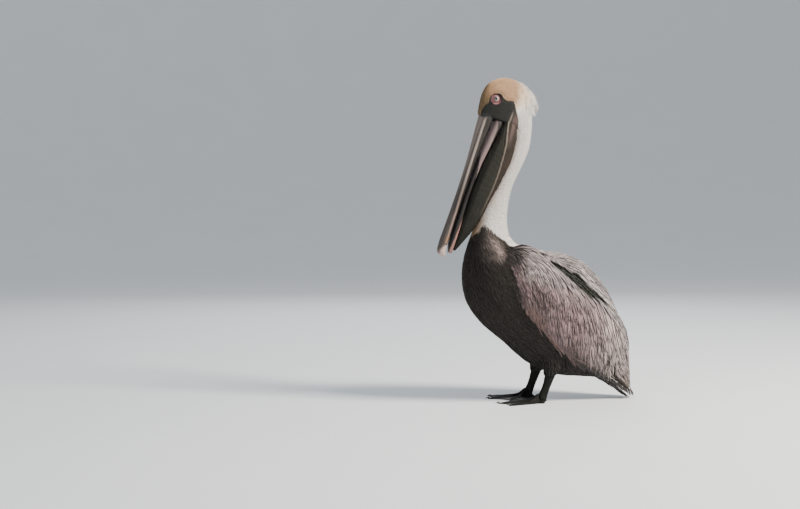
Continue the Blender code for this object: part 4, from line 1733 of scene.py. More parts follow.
# ---------------------------------------------------------------- large flight feathers
@dataclass
class FlightFeathers:
    """The tail's fan and the long feathers of the folded wing tips, each laid in its place."""

    plumage: Plumage
    tail_pairs: int = 7
    primaries: int = 9
    secondaries: int = 9
    tertials: int = 8

    def lay(
        self, name: str, starts: np.ndarray, ends: np.ndarray, tract: Tract, kind: Feather,
        finish: FeatherFinish, tint: tuple | np.ndarray, *replaces: str,
    ) -> None:
        """Grow one row on the outer form, each feather with a cell of its own on the baking map.

        Args:
            name: The piece's name.
            starts: Where the feathers start.
            ends: Where they end.
            tract: The tract that they belong to.
            kind: Their kind, with a length of one.
            finish: Their finish.
            tint: One colour, or one for each feather.
            *replaces: Packed solids that the row stands for.
        """
        length = np.linalg.norm(ends - starts, axis=1)
        place, normal, _ = self.plumage.skin.lie.nearest(starts)
        way = ends - starts
        way = unit(way - normal * dot(way, normal))
        count = len(starts)
        uv = np.stack([(np.arange(count) + 0.5) / count, np.full(count, 0.5)], axis=1)
        roots = Sown(place, normal, way, np.full(count, TRACTS.index(tract)), uv)
        shades = 1 + 0.25 * (self.plumage.dice.random(count) - 0.5)
        colours = np.array(tint).reshape(-1, 3) * shades[:, None]
        self.plumage.grow(
            name, roots, kind, finish, "flight_feathers", length, colours, replaces, cell=0.8 / count
        )

    def wing_rows(self, side: int) -> None:
        """Lay primaries, secondaries and tertials of one wing.

        Args:
            side: 1 for the left wing and -1 for the right.
        """
        name = "left" if side > 0 else "right"
        low, high = (np.array(v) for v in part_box("wing_tip_left"))
        span = high - low
        tip = np.array([low[0] + 0.26 * span[0], high[1] - 0.002, low[2] + 0.002])
        upper = np.array([low[0] + 0.62 * span[0], low[1] + 0.60 * span[1], high[2]])
        lower = np.array([high[0], low[1] + 0.02 * span[1], low[2] + 0.28 * span[2]])
        back = unit((upper - tip)[None])[0] * 0.045
        out = np.array([side, 1, 1])
        dark, golden = np.array([0.028, 0.022, 0.018]), np.array([0.115, 0.078, 0.047])

        t = np.linspace(0.0, 1.0, self.primaries)[:, None]
        starts = upper * (1 - t) + lower * t
        ends = tip + (1 - t) * np.array([-0.004, 0.002, 0.030]) + t * np.array([0.006, -0.016, 0.002])
        tints = painted(
            rows_of((0.19, 0.157, 0.148), self.primaries),
            (golden, ease(0.40, 0.60, t[:, 0])), (dark, ease(0.72, 0.90, t[:, 0])),
        )
        kind = Feather(
            1.0, 0.019, stations=16, sides=6, thickness=0.0012, camber=0.22, sink=0.0048,
            rise=-0.0012, turn=0.0, vary=0.05, ragged=0.10, blunt=0.55, trims=False,
        )
        look = FeatherFinish(
            "primaries", edge=0.3, edge_from=0.55, shaft=0.4, tip=1.4, root=-0.1, variation=0.4, barbs=110,
        )
        row = starts * out, ends * out, Tract.WING_TIP
        self.lay("primaries_" + name, *row, kind, look, tints, "wing_tip_" + name)

        t = np.linspace(0.0, 1.0, self.secondaries)[:, None]
        starts = (upper * (1 - t) + lower * t) + back
        ends = starts + (tip - starts) * (0.78 + 0.14 * t)
        tints = blend(rows_of((0.25, 0.205, 0.195), self.secondaries), dark, ease(0.70, 0.90, t[:, 0]))
        kind = Feather(
            1.0, 0.0165, stations=14, sides=6, thickness=0.0012, camber=0.25, sink=0.0040,
            rise=0.0002, turn=0.03, vary=0.08, ragged=0.14, blunt=0.8, trims=False,
        )
        grey = FeatherFinish(
            "secondaries", edge=-0.7, edge_from=0.5, shaft=-0.4, tip=-0.3, root=-0.1, variation=0.4,
            barbs=110,
        )
        row = starts * out, ends * out, Tract.WING_TIP
        self.lay("secondaries_" + name, *row, kind, grey, tints)

        t = np.linspace(0.0, 0.80, self.tertials)[:, None]
        starts = (upper * (1 - t) + lower * t) + back * 1.5
        ends = starts + (tip - starts) * (0.90 - 0.14 * t)
        kind = Feather(
            1.0, 0.0145, stations=14, sides=6, thickness=0.0012, camber=0.25, sink=0.0034,
            rise=0.0012, turn=0.05, vary=0.12, ragged=0.16, blunt=1.0, trims=False,
        )
        row = starts * out, ends * out, Tract.WING_TIP
        self.lay("tertials_" + name, *row, kind, grey, (0.30, 0.25, 0.24))

    def tail_fan(self) -> None:
        """Lay the tail: a fan over its upper side and another below, down to the floor."""
        low, high = (np.array(v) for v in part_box("tail"))
        span = high - low
        kind = Feather(
            1.0, 0.0150, stations=14, sides=6, thickness=0.0013, camber=0.2, sink=0.0034,
            rise=-0.0002, turn=0.02, vary=0.04, ragged=0.12, blunt=0.5, trims=False,
        )
        above = FeatherFinish(
            "rectrices_above", edge=-0.5, edge_from=0.5, shaft=-0.4, tip=-0.2, root=-0.1, variation=0.5,
            barbs=110,
        )
        below = FeatherFinish(
            "rectrices", edge=0.5, edge_from=0.6, shaft=0.6, tip=1.0, root=-0.2, variation=0.4, barbs=110,
        )
        over = (0, low[1] + 0.58 * span[1], high[2] - 0.004), (0, high[1] + 0.0005, 0.0016)
        under = (0, low[1] + 0.04 * span[1], low[2] + 0.55 * span[2]), (0, high[1] - 0.006, 0.0012)
        pairs = self.tail_pairs
        for name, count, (root, end), look, tint, nodes in (
            ("tail_fan", pairs * 2, over, above, (0.20, 0.165, 0.150), ("tail",)),
            ("tail_underside", pairs * 2 - 2, under, below, (0.030, 0.024, 0.019), ()),
        ):
            t = np.linspace(-1, 1, count)[:, None]
            t = t[np.argsort(-np.abs(t[:, 0]), kind="stable")]
            across = t * np.array([1.0, 0.0, 0.0]) * high[0]
            starts = np.array(root) + across * 0.72
            ends = np.array(end) + across * 0.94 + np.abs(t) ** 2 * np.array([0, -0.012, 0.011])
            self.lay(name, starts, ends, Tract.TAIL, kind, look, tint, *nodes)

    def build(self) -> None:
        """Lay every row."""
        self.wing_rows(1)
        self.wing_rows(-1)
        self.tail_fan()


# ---------------------------------------------------------------- bill and pouch
@dataclass
class BillFrame:
    """Coordinates along the bill (s) and out from its ridge line (n, negative inwards)."""

    droop: float = math.radians(72.2)
    length: float = 0.322

    def __post_init__(self) -> None:
        """Find the root of the bill from its packed solids."""
        self.axis = np.array([0.0, -math.cos(self.droop), -math.sin(self.droop)])
        self.out = np.array([0.0, -math.sin(self.droop), math.cos(self.droop)])
        co = corners_of(frame["nodes"]["bill_nail"].data)
        self.n0 = float((co @ self.out).max()) + 0.0005
        self.s0 = float((co @ self.axis).max()) - self.length

    def measure(self, points: np.ndarray) -> tuple[np.ndarray, np.ndarray]:
        """Return s and n of each point."""
        return points @ self.axis - self.s0, points @ self.out - self.n0

    def at(self, s: float, n: float) -> np.ndarray:
        """Return the place with these coordinates, in the bird's middle plane."""
        return self.axis * (s + self.s0) + self.out * (n + self.n0)


@dataclass
class Wrapped:
    """A tube drawn on a packed solid: rings square to the bill, smoothed, ready to be detailed."""

    node: str
    bill: BillFrame
    rings: int
    around: int
    inset: float = 0.0006
    smooth: int = 2
    lead: float = 0.0
    tuck: float = 0.0
    ending: float = 0.92

    def __post_init__(self) -> None:
        """Draw the rings."""
        form = Form(self.node)
        s, _ = self.bill.measure(corners_of(frame["nodes"][self.node].data))
        self.s = np.linspace(s.min() + self.inset, s.max() - self.inset, self.rings)
        self.angle = full_turn(self.around)
        reach = np.full((self.rings, self.around), np.nan)
        centre = np.full(self.rings, np.nan)
        far = 0.3
        for k, at in enumerate(self.s):
            outer = form.ray(self.bill.at(at, far), -self.bill.out)
            inner = form.ray(self.bill.at(at, -far), self.bill.out)
            if math.isnan(outer) or math.isnan(inner):
                continue
            centre[k] = ((far - outer) + (inner - far)) / 2
        good = ~np.isnan(centre)
        centre = np.interp(self.s, self.s[good], centre[good])
        for _ in range(4):
            softened(centre)
        for k, at in enumerate(self.s):
            home = self.bill.at(at, centre[k])
            for i, angle in enumerate(self.angle):
                way = math.cos(angle) * self.bill.out + math.sin(angle) * np.array([1.0, 0, 0])
                reach[k, i] = form.ray(home, way, 0.1)
        for i in range(self.around):
            column = reach[:, i]
            known = ~np.isnan(column)
            reach[:, i] = np.interp(self.s, self.s[known], column[known])
        for _ in range(self.smooth):
            reach = softened_round(softened(reach))
        self.reach, self.centre = reach, centre

    def points(self) -> np.ndarray:
        """Return the rings' corners, ring by ring.

        Returns:
            Rings by corners by xyz.
        """
        cos, sin = np.cos(self.angle), np.sin(self.angle)
        home = np.array([self.bill.at(s, n) for s, n in zip(self.s, self.centre)])
        reach = self.reach - self.tuck * ease(0.007, 0.0, self.s - self.s[0])[:, None]
        out = reach[:, :, None] * cos[None, :, None] * self.bill.out
        side = reach * sin[None]
        grid = home[:, None, :] + out
        grid[:, :, 0] += side
        first = grid[0].mean(axis=0) + (grid[0] - grid[0].mean(axis=0)) * self.ending
        self.s = np.concatenate([[self.s[0] - self.lead], self.s])
        return np.concatenate([[first - self.lead * self.bill.axis], grid])


def tube_faces(rings: int, around: int) -> np.ndarray:
    """Return the faces of a closed tube whose ends are fans round two extra corners.

    Args:
        rings: How many rings.
        around: How many corners each has.

    Returns:
        Three corner numbers for each face.
    """
    faces = []
    for k in range(rings - 1):
        for i in range(around):
            j = (i + 1) % around
            a, b = k * around + i, k * around + j
            faces += [(a, b, b + around), (a, b + around, a + around)]
    first, last = rings * around, rings * around + 1
    base = (rings - 1) * around
    for i in range(around):
        j = (i + 1) % around
        faces += [(first, j, i), (last, base + i, base + j)]
    return np.array(faces)


def tube_object(name: str, grid: np.ndarray, tint: np.ndarray, along: np.ndarray) -> bpy.types.Object:
    """Make a closed tube from its rings.

    Args:
        name: The piece's name.
        grid: Rings by corners by xyz.
        tint: A colour for each corner.
        along: The distance along the tube of each ring.

    Returns:
        The object, with its colours, its (along, around) and its baking map.
    """
    rings, around, _ = grid.shape
    ends = np.stack([grid[0].mean(axis=0), grid[-1].mean(axis=0)])
    verts = np.concatenate([grid.reshape(-1, 3), ends])
    obj = mesh_object(name, verts, tube_faces(rings, around))
    turn = np.tile(np.arange(around) / around, rings)
    fold = np.abs(turn - 0.5) * 2
    reach = np.repeat(along, around)
    lie = np.stack([reach, fold * 0.1, np.zeros(len(reach))], axis=1)
    lie = np.concatenate([lie, [[along[0], 0, 0], [along[-1], 0, 0]]])
    store(obj.data, "lie", lie)
    tint = tint.reshape(-1, 3)
    store(obj.data, "tint", np.concatenate([tint, tint[[0, -1]]]))
    index = read(obj.data.loops, "vertex_index", 1, np.int32)
    ring_at = np.minimum(index // around, rings - 1) / (rings - 1)
    column = (index % around).astype(float).reshape(-1, 3)
    wide = (column.max(axis=1) - column.min(axis=1)) > around / 2
    column[wide] = np.where(column[wide] < around / 2, column[wide] + around, column[wide])
    spare = (index >= rings * around).reshape(-1, 3)
    mean = (column * ~spare).sum(axis=1) / np.maximum((~spare).sum(axis=1), 1)
    column = np.where(spare, mean[:, None], column)
    ring_at[index == rings * around] = -0.01
    ring_at[index == rings * around + 1] = 1.01
    uv = np.stack([column.ravel() / (around + 0.001) * 0.96 + 0.02, ring_at * 0.94 + 0.03], axis=1)
    obj.data.uv_layers.new(name=BAKING_MAP).data.foreach_set("uv", uv.astype(np.float32).ravel())
    point_out(obj)
    return obj


def raised(grid: np.ndarray, rise: np.ndarray) -> np.ndarray:
    """Move the rings' corners away from the middle of their ring, each by its own amount."""
    return grid + unit(grid - grid.mean(axis=1, keepdims=True)) * rise[:, :, None]


@dataclass
class Bill:
    """Both mandibles with the nail, and the pouch that hangs from the lower one."""

    markings: Markings
    frame: BillFrame
    culmen: float = 0.0011
    groove: float = 0.0009
    fold: float = 0.0013

    def grey(self, value: float, warm: float = 1.0) -> np.ndarray:
        """Return a horn grey."""
        return value * np.array([1.0 * warm, 0.87, 0.82 / warm])

    def upper(self) -> None:
        """Build the upper mandible: ridge, side grooves and streaks."""
        w = Wrapped("bill_upper", self.frame, 190, 64, lead=0.008, tuck=0.0022)
        grid = w.points()
        s, n = self.frame.measure(grid)
        x = grid[:, :, 0]
        out = np.cos(w.angle)[None, :]
        front = ease(0.1, 0.7, out)
        rise = self.culmen * bump_at(x, 0.0, 0.0042) * front
        rise = rise - self.groove * bump_at(np.abs(x), 0.0070, 0.0016) * front
        beside = ease(0.55, 0.9, np.abs(np.sin(w.angle))[None, :])
        rise = rise - self.groove * bump_at(n, -0.0078, 0.0013) * beside
        rise = rise + 0.0004 * bump_at(n, -0.0125, 0.0022) * beside
        wave = value_noise((grid * [60, 12, 12]).reshape(-1, 3), 1.0, 2).reshape(x.shape)
        rise = rise + 0.0005 * (wave - 0.5) * beside
        # low: the upper mandible's lower edge near black, partly painted shade over the gap to the lower
        # mandible, partly its own blackish horn
        low = ease(-0.0134, -0.0150, n)
        pale = bump_at(n, -0.0116, 0.0016) * beside * ease(0.0, 0.018, s)
        pink = bump_at(n, -0.0135, 0.0020) * ease(0.17, 0.24, s) * beside
        base = ease(0.012, -0.004, s) * ease(-0.004, -0.010, n)
        base = np.maximum(base, ease(0.006, 0.001, s) * ease(-0.001, -0.003, n))
        tip = ease(0.262, 0.292, s) * ease(-0.012, -0.004, n)
        orange = bump_at(s, 0.283, 0.009) * bump_at(n, -0.0135, 0.004)
        colour = painted(
            np.broadcast_to(self.grey(0.165, 1.12), grid.shape),
            (self.grey(0.060, 1.12), ease(0.09, 0.20, s)),
            (self.grey(0.035, 1.08), bump_at(n, -0.0075, 0.0011) * beside * 0.95),
            (self.grey(0.32, 1.06), pale * ease(0.20, 0.12, s) * 0.95),
            (self.grey(0.17, 1.15), pale * ease(0.12, 0.20, s)),
            (np.array([0.19, 0.115, 0.095]), pink * 0.75),
            (self.grey(0.014, 1.1), low),
            (self.grey(0.045, 1.1), bump_at(np.abs(x), 0.0068, 0.0013) * front * 0.6),
            (self.markings.colour["bare"], base),
            (self.grey(0.05, 1.1), tip * 0.6),
            (np.array([0.32, 0.15, 0.06]), orange * 0.55),
        )
        obj = tube_object("upper_mandible", raised(grid, rise), colour, w.s)
        horn = HornFinish("upper_mandible_horn", roughness=0.40, streak=0.6, broad=0.9)
        wear(obj, horn.make(), "bill_horn", "bill_upper")

    def nail(self) -> None:
        """Build the hooked nail at the tip."""
        w = Wrapped("bill_nail", self.frame, 46, 40, smooth=1, lead=0.004)
        grid = w.points()
        s, n = self.frame.measure(grid)
        radial = unit(grid - grid.mean(axis=1, keepdims=True))
        tip = ease(w.s[-1] - 0.004, w.s[-1], s)
        grid = grid - radial * (0.0008 * tip)[:, :, None]
        rise = 0.0006 * bump_at(grid[:, :, 0], 0.0, 0.004) * ease(0.2, 0.8, np.cos(w.angle))[None]
        grid = grid + radial * rise[:, :, None]
        share = (s - s.min()) / (s.max() - s.min())
        pale = ease(0.15, 0.60, share + 60 * (-0.0085 - n))
        rim = ease(0.35, 0.75, share) * ease(-0.010, -0.004, n)
        colour = painted(
            np.broadcast_to(self.grey(0.06, 1.1), grid.shape), (np.array([0.44, 0.335, 0.28]), pale),
            (np.array([0.13, 0.085, 0.075]), rim),
        )
        obj = tube_object("bill_nail_horn", grid, colour, w.s)
        horn = HornFinish("nail_horn", roughness=0.32, streak=0.35)
        wear(obj, horn.make(), "bill_nail", "bill_nail")

    def lower(self) -> None:
        """Build the lower mandible: its two branches with the paler sides, which are partly their own horn
        and partly painted light.
        """
        w = Wrapped("bill_lower", self.frame, 180, 56, lead=0.006, tuck=0.0010)
        grid = w.points()
        s, n = self.frame.measure(grid)
        x = grid[:, :, 0]
        beside = ease(0.45, 0.85, np.abs(np.sin(w.angle))[None, :])
        # The pale band's course and width follow where light catches each branch: partly its own mauve-grey
        # horn, partly painted light.
        middle = np.interp(
            s, [0.0, 0.06, 0.10, 0.16, 0.23, 0.30], [-0.036, -0.034, -0.033, -0.036, -0.036, -0.031]
        )
        half = np.interp(
            s, [-0.005, 0.02, 0.06, 0.095, 0.125, 0.20, 0.235, 0.30],
            [0.004, 0.0085, 0.0080, 0.0048, 0.0022, 0.0016, 0.0040, 0.0048],
        )
        inside = ease(1.25, 0.8, np.abs(n - middle) / half) * beside
        wave = value_noise((grid * [60, 12, 12]).reshape(-1, 3), 1.0, 4).reshape(x.shape)
        rise = 0.0007 * inside + 0.0006 * (wave - 0.5) * beside
        band = painted(
            np.broadcast_to(np.array([0.165, 0.118, 0.112]), grid.shape),
            (self.grey(0.17, 1.05), ease(0.11, 0.16, s)),
            (np.array([0.24, 0.13, 0.11]), ease(0.205, 0.24, s)),
        )
        shown = inside * (1 - 0.85 * bump_at(s, 0.147, 0.016)) * ease(-0.004, 0.006, s)
        red = bump_at(s, 0.262, 0.010) * inside * 0.3
        colour = painted(
            np.broadcast_to(self.grey(0.015, 1.05), grid.shape), (band, shown),
            (np.array([0.34, 0.12, 0.10]), red),
        )
        obj = tube_object("lower_mandible", raised(grid, rise), colour, w.s)
        wear(obj, HornFinish("lower_mandible_horn", broad=0.7).make(), "bill_horn", "bill_lower")

    def pouch(self) -> None:
        """Build the folded pouch, with its long pale crease and fine folds."""
        w = Wrapped("pouch", self.frame, 200, 120, lead=0.009, tuck=0.0006, ending=0.97)
        grid = w.points()
        s, n = self.frame.measure(grid)
        x = grid[:, :, 0]
        flat = grid.reshape(-1, 3)
        beside = ease(0.004, 0.012, np.abs(x))
        off = n - np.interp(
            s, [-0.03, 0.014, 0.047, 0.081, 0.115, 0.151, 0.21],
            [-0.0600, -0.0663, -0.0722, -0.0736, -0.0740, -0.0721, -0.0650],
        )
        wobble = 0.0010 * (value_noise(flat, 0.02, 5).reshape(x.shape) - 0.5)
        crest = bump_at(off + wobble, 0.0, 0.0021) * beside * ease(0.24, 0.19, s)
        trough = bump_at(off + wobble, 0.0046, 0.0022) + bump_at(off + wobble, -0.0046, 0.0022)
        bend = value_noise(flat * [1, 0.25, 0.25], 0.016, 6).reshape(x.shape)
        fine = np.sin((n * 1900) + 9.0 * bend + 2.0 * np.sin(s * 40))
        finer = np.sin((n * 3900) + 15.0 * bend + 1.3)
        rise = self.fold * crest - 0.0007 * trough * beside * ease(0.24, 0.19, s)
        rise = rise + (0.00042 * fine + 0.00018 * finer) * beside * ease(-0.02, 0.01, s)
        rise = rise + 0.0010 * (value_noise(flat, 0.018, 7).reshape(x.shape) - 0.5) * beside
        rise = rise - 0.0016 * ease(0.030, -0.004, s) * ease(-0.066, -0.078, n)
        behind = ease(0.004, -0.010, off) * (0.4 + 0.6 * value_noise(flat, 0.02, 8).reshape(x.shape))
        patch = bump_at(n, -0.0775, 0.0050) * ease(0.065, 0.015, s) * beside
        strength = np.interp(s, [-0.03, 0.0, 0.05, 0.10, 0.17, 0.22], [0.6, 0.95, 0.70, 0.55, 0.35, 0.0])
        colour = painted(
            np.broadcast_to(np.array([0.017, 0.0165, 0.0130]), grid.shape),
            (np.array([0.031, 0.0210, 0.0165]), behind * beside),
            (np.array([0.090, 0.061, 0.053]), patch * 0.85),
            (np.array([0.25, 0.20, 0.16]), bump_at(off + wobble, 0.0, 0.0014) * strength * beside),
        )
        obj = tube_object("throat_pouch", raised(grid, rise), colour, w.s)
        hide = HideFinish("pouch_hide", scales=1300.0, fold_scale=60.0, depth=0.0006)
        wear(obj, hide.make(), "pouch_skin", "pouch")

    def build(self) -> None:
        """Build all four pieces."""
        self.upper()
        self.nail()
        self.lower()
        self.pouch()


# ---------------------------------------------------------------- eyes
@dataclass
class Eye:
    """An eyeball with a bulging cornea, turned a little forwards."""

    side: int
    forward: float = math.radians(8.0)
    cornea: float = 0.0007
    cornea_spread: float = 0.62

    def build(self) -> None:
        """Build the eyeball."""
        name = "eye_left" if self.side > 0 else "eye_right"
        low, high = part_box(name)
        centre, radius = (low + high) / 2, (high.x - low.x) / 2
        bpy.ops.object.select_all(action="DESELECT")
        bpy.ops.mesh.primitive_uv_sphere_add(segments=64, ring_count=40, radius=radius, location=centre)
        ball = bpy.context.view_layer.objects.active
        ball.name = "eyeball_left" if self.side > 0 else "eyeball_right"
        bpy.ops.object.transform_apply(location=True, rotation=True, scale=True)
        co = corners_of(ball.data) - np.array(centre)
        look = np.array([self.side * math.cos(self.forward), -math.sin(self.forward), 0.05])
        look /= np.linalg.norm(look)
        up = np.array([0.0, 0.0, 1.0])
        right = unit(np.cross(look, up)[None])[0]
        up = np.cross(right, look)
        turned = co[:, 2:3] * look + co[:, 0:1] * right * self.side + co[:, 1:2] * up
        angle = np.arccos(np.clip(unit(turned) @ look, -1, 1))
        turned = turned + look * (self.cornea * np.exp(-((angle / self.cornea_spread) ** 2)))[:, None]
        around = np.arctan2(turned @ up, turned @ right)
        place_corners(ball.data, turned + np.array(centre))
        lie = np.stack([angle / (math.pi / 2), around / (2 * math.pi), np.zeros(len(co))], axis=1)
        store(ball.data, "lie", lie)
        out = 0.45 * angle / math.pi
        uv = np.stack([0.5 + out * np.cos(around), 0.5 + out * np.sin(around)], axis=1)
        while ball.data.uv_layers:
            ball.data.uv_layers.remove(ball.data.uv_layers[0])
        store_map(ball.data, uv)
        point_out(ball)
        bpy.ops.object.shade_smooth()
        wear(ball, EyeFinish(ball.name).make(), "eye", name)


# ---------------------------------------------------------------- legs and feet
@dataclass
class Leg:
    """One shank with its webbed foot and claws."""

    side: int
    rings: int = 44
    around: int = 36
    bearings: int = 180
    shares: int = 44
    claw_length: float = 0.0095
    heel_height: float = 0.0016
    heel_round: float = 0.0115
    shank_scute: float = 0.0042
    toe_scute: float = 0.0038
    knuckle: float = 0.030
    claw_rings: int = 9
    claw_around: int = 12
    colour: tuple = (0.0060, 0.0060, 0.0048)

    def __post_init__(self) -> None:
        """Find the leg's packed solids."""
        self.name = "left" if self.side > 0 else "right"
        co = corners_of(frame["nodes"]["shank_" + self.name].data)
        self.shank_co = co
        low = co[co[:, 2] < co[:, 2].min() + 0.002]
        self.ankle = (low.min(axis=0) + low.max(axis=0)) / 2

    def shank(self) -> None:
        """Build the shank, scaly all round."""
        form = Form("shank_" + self.name)
        co = self.shank_co
        z = np.linspace(co[:, 2].max() + 0.006, self.heel_height, self.rings)
        inside = np.clip(z, co[:, 2].min() + 0.0004, co[:, 2].max() - 0.0004)
        grid = np.empty((self.rings, self.around, 3))
        angle = full_turn(self.around)
        x = (co[:, 0].min() + co[:, 0].max()) / 2
        for k, height in enumerate(inside):
            front = form.ray([x, -0.2, height], [0, 1, 0])
            back = form.ray([x, 0.2, height], [0, -1, 0])
            home = np.array([x, (front - back) / 2, height])
            for i, turn in enumerate(angle):
                way = np.array([math.sin(turn), -math.cos(turn), 0.0])
                reach = form.ray(home, way, 0.1)
                grid[k, i] = home + way * reach
        for _ in range(2):
            grid = softened_round(softened(grid))
        grid[:, :, 2] = z[:, None]
        centre = grid.mean(axis=1, keepdims=True)
        below = np.clip((self.heel_height + self.heel_round - z) / self.heel_round, 0, 0.97)
        centre[:, 0, 1] -= 0.003 * below**2
        grid = centre + (grid - grid.mean(axis=1, keepdims=True)) * np.sqrt(1 - below**2)[:, None, None]
        grid[:, :, 2] = z[:, None]
        turn = angle[None, :]
        front = ease(0.3, 0.9, np.cos(turn))
        scute = np.abs(np.sin(z[:, None] * math.pi / self.shank_scute))
        flat = grid.reshape(-1, 3)
        lump = value_noise(flat, 0.0035, 3).reshape(self.rings, self.around)
        joint = bump_at(z[:, None], co[:, 2].min() + 0.004, 0.008)
        rise = 0.00035 * scute * front + 0.0006 * (lump - 0.5) + 0.0006 * joint
        grid = grid + unit(grid - centre) * rise[:, :, None]
        tint = np.array(self.colour)[None] * (0.8 + 0.5 * value_noise(flat, 0.008, 4))[:, None]
        obj = tube_object("shank_skin_" + self.name, grid, tint.reshape(self.rings, self.around, 3), z)
        hide = HideFinish("shank_hide_" + self.name, scales=380.0, fold_scale=40.0, roughness=0.62)
        wear(obj, hide.make(), "leg_skin", "shank_" + self.name)

    def foot(self) -> None:
        """Build the webbed foot and its claws."""
        node = "foot_" + self.name
        form = Form(node)
        home = np.array([self.ankle[0], self.ankle[1], 0.0009])
        bearing = full_turn(self.bearings)
        ways = np.stack([self.side * np.sin(bearing), -np.cos(bearing), np.zeros(len(bearing))], axis=1)
        reach = np.array([form.ray(home, way, 0.2) for way in ways])
        known = ~np.isnan(reach)
        reach = np.interp(bearing, bearing[known], reach[known], period=2 * math.pi)
        share = np.linspace(0, 1, self.shares + 1)[1:] ** 0.9
        share[-1] = 0.992
        top = np.empty((self.shares, self.bearings))
        for k, part in enumerate(share):
            for i, way in enumerate(ways):
                spot = home + way * reach[i] * part
                drop = form.ray([spot[0], spot[1], 0.1], [0, 0, -1.0], 0.2)
                top[k, i] = 0.1 - drop if not math.isnan(drop) else 0.0013
        top = softened(softened_round(top))
        radius = share[:, None] * reach[None, :]
        top = top + 0.0050 * ease(0.021, 0.008, radius)
        spot = home + ways[None] * radius[:, :, None]
        flat = spot.reshape(-1, 3)
        toe = ease(0.0024, 0.0042, top)
        scute = np.abs(np.sin(radius * math.pi / self.toe_scute))
        top = top + 0.00045 * scute * toe
        knuckle = np.abs(np.sin(radius * math.pi / self.knuckle))
        top = top * (1 - 0.10 * toe * (1 - knuckle))
        web = (1 - toe) * ease(0.1, 0.3, share)[:, None]
        ripple = np.sin(bearing * 46)[None] * np.sin(radius * 260) * 0.00020
        pucker = 0.0005 * (value_noise(flat, 0.007, 6).reshape(top.shape) - 0.5)
        top = top + web * (ripple + pucker)
        rim = ease(1.0, 0.93, share)[:, None]
        top = 0.0011 + (top - 0.0011) * (0.35 + 0.65 * rim)
        upper = spot.copy()
        upper[:, :, 2] = np.maximum(top, 0.0010)
        sole = spot[::-1].copy()
        sole[:, :, 2] = 0.0
        sole[0, :, 2] = 0.0005
        grid = np.concatenate([upper, sole])
        spread = np.concatenate([share, 2 - share[::-1]])
        tone = 0.8 + 0.5 * value_noise(grid.reshape(-1, 3), 0.010, 9)
        both = np.concatenate([toe, toe[::-1]]).reshape(-1)
        tint = np.array(self.colour)[None] * (tone * (1.0 - 0.18 * (1 - both)))[:, None]
        obj = tube_object("foot_skin_" + self.name, grid, tint.reshape(*grid.shape), spread * 0.08)
        hide = HideFinish("foot_hide_" + self.name, scales=460.0, fold_scale=30.0, roughness=0.60)
        wear(obj, hide.make(), "leg_skin", node)
        self.claws(home, reach, ways)

    def claws(self, home: np.ndarray, reach: np.ndarray, ways: np.ndarray) -> None:
        """Build a curved claw at the tip of every toe.

        Args:
            home: The middle of the foot.
            reach: How far the foot goes at each bearing.
            ways: The direction of each bearing.
        """
        smooth = (np.roll(reach, 1) + reach + np.roll(reach, -1)) / 3
        wide = 5
        top = [max(smooth[(i + k) % len(reach)] for k in range(-wide, wide + 1)) for i in range(len(reach))]
        peaks = [i for i, most in enumerate(top) if smooth[i] == most and most > 0.03]
        rings, around = self.claw_rings, self.claw_around
        parts = []
        for i in peaks:
            way = ways[i]
            side = np.cross(way, [0, 0, 1.0])
            start = home + way * (reach[i] - 0.0035)
            grid = np.empty((rings, around, 3))
            for k in range(rings):
                u = k / (rings - 1)
                centre = start + way * (self.claw_length * u)
                centre[2] = 0.0030 + 0.0010 * math.sin(u * 2.2) - 0.0020 * u**2
                thick = 0.0019 * (1 - u) ** 0.7 + 0.00012
                for j in range(around):
                    turn = 2 * math.pi * j / around
                    grid[k, j] = centre + side * (thick * 0.75 * math.cos(turn))
                    grid[k, j, 2] += thick * math.sin(turn)
            grid[:, :, 2] = np.maximum(grid[:, :, 2], 0.0003)
            tint = np.broadcast_to(np.array([0.05, 0.043, 0.036]), grid.shape).copy()
            parts.append(tube_object(f"claw_{self.name}_{i}", grid, tint, np.linspace(0, 0.01, rings)))
        pick(*parts)
        bpy.ops.object.join()
        claws = bpy.context.view_layer.objects.active
        claws.name = "claws_" + self.name
        horn = HornFinish("claw_horn_" + self.name, roughness=0.35, streak=0.3)
        wear(claws, horn.make(), "leg_skin")

    def build(self) -> None:
        """Build shank, foot and claws."""
        self.shank()
        self.foot()


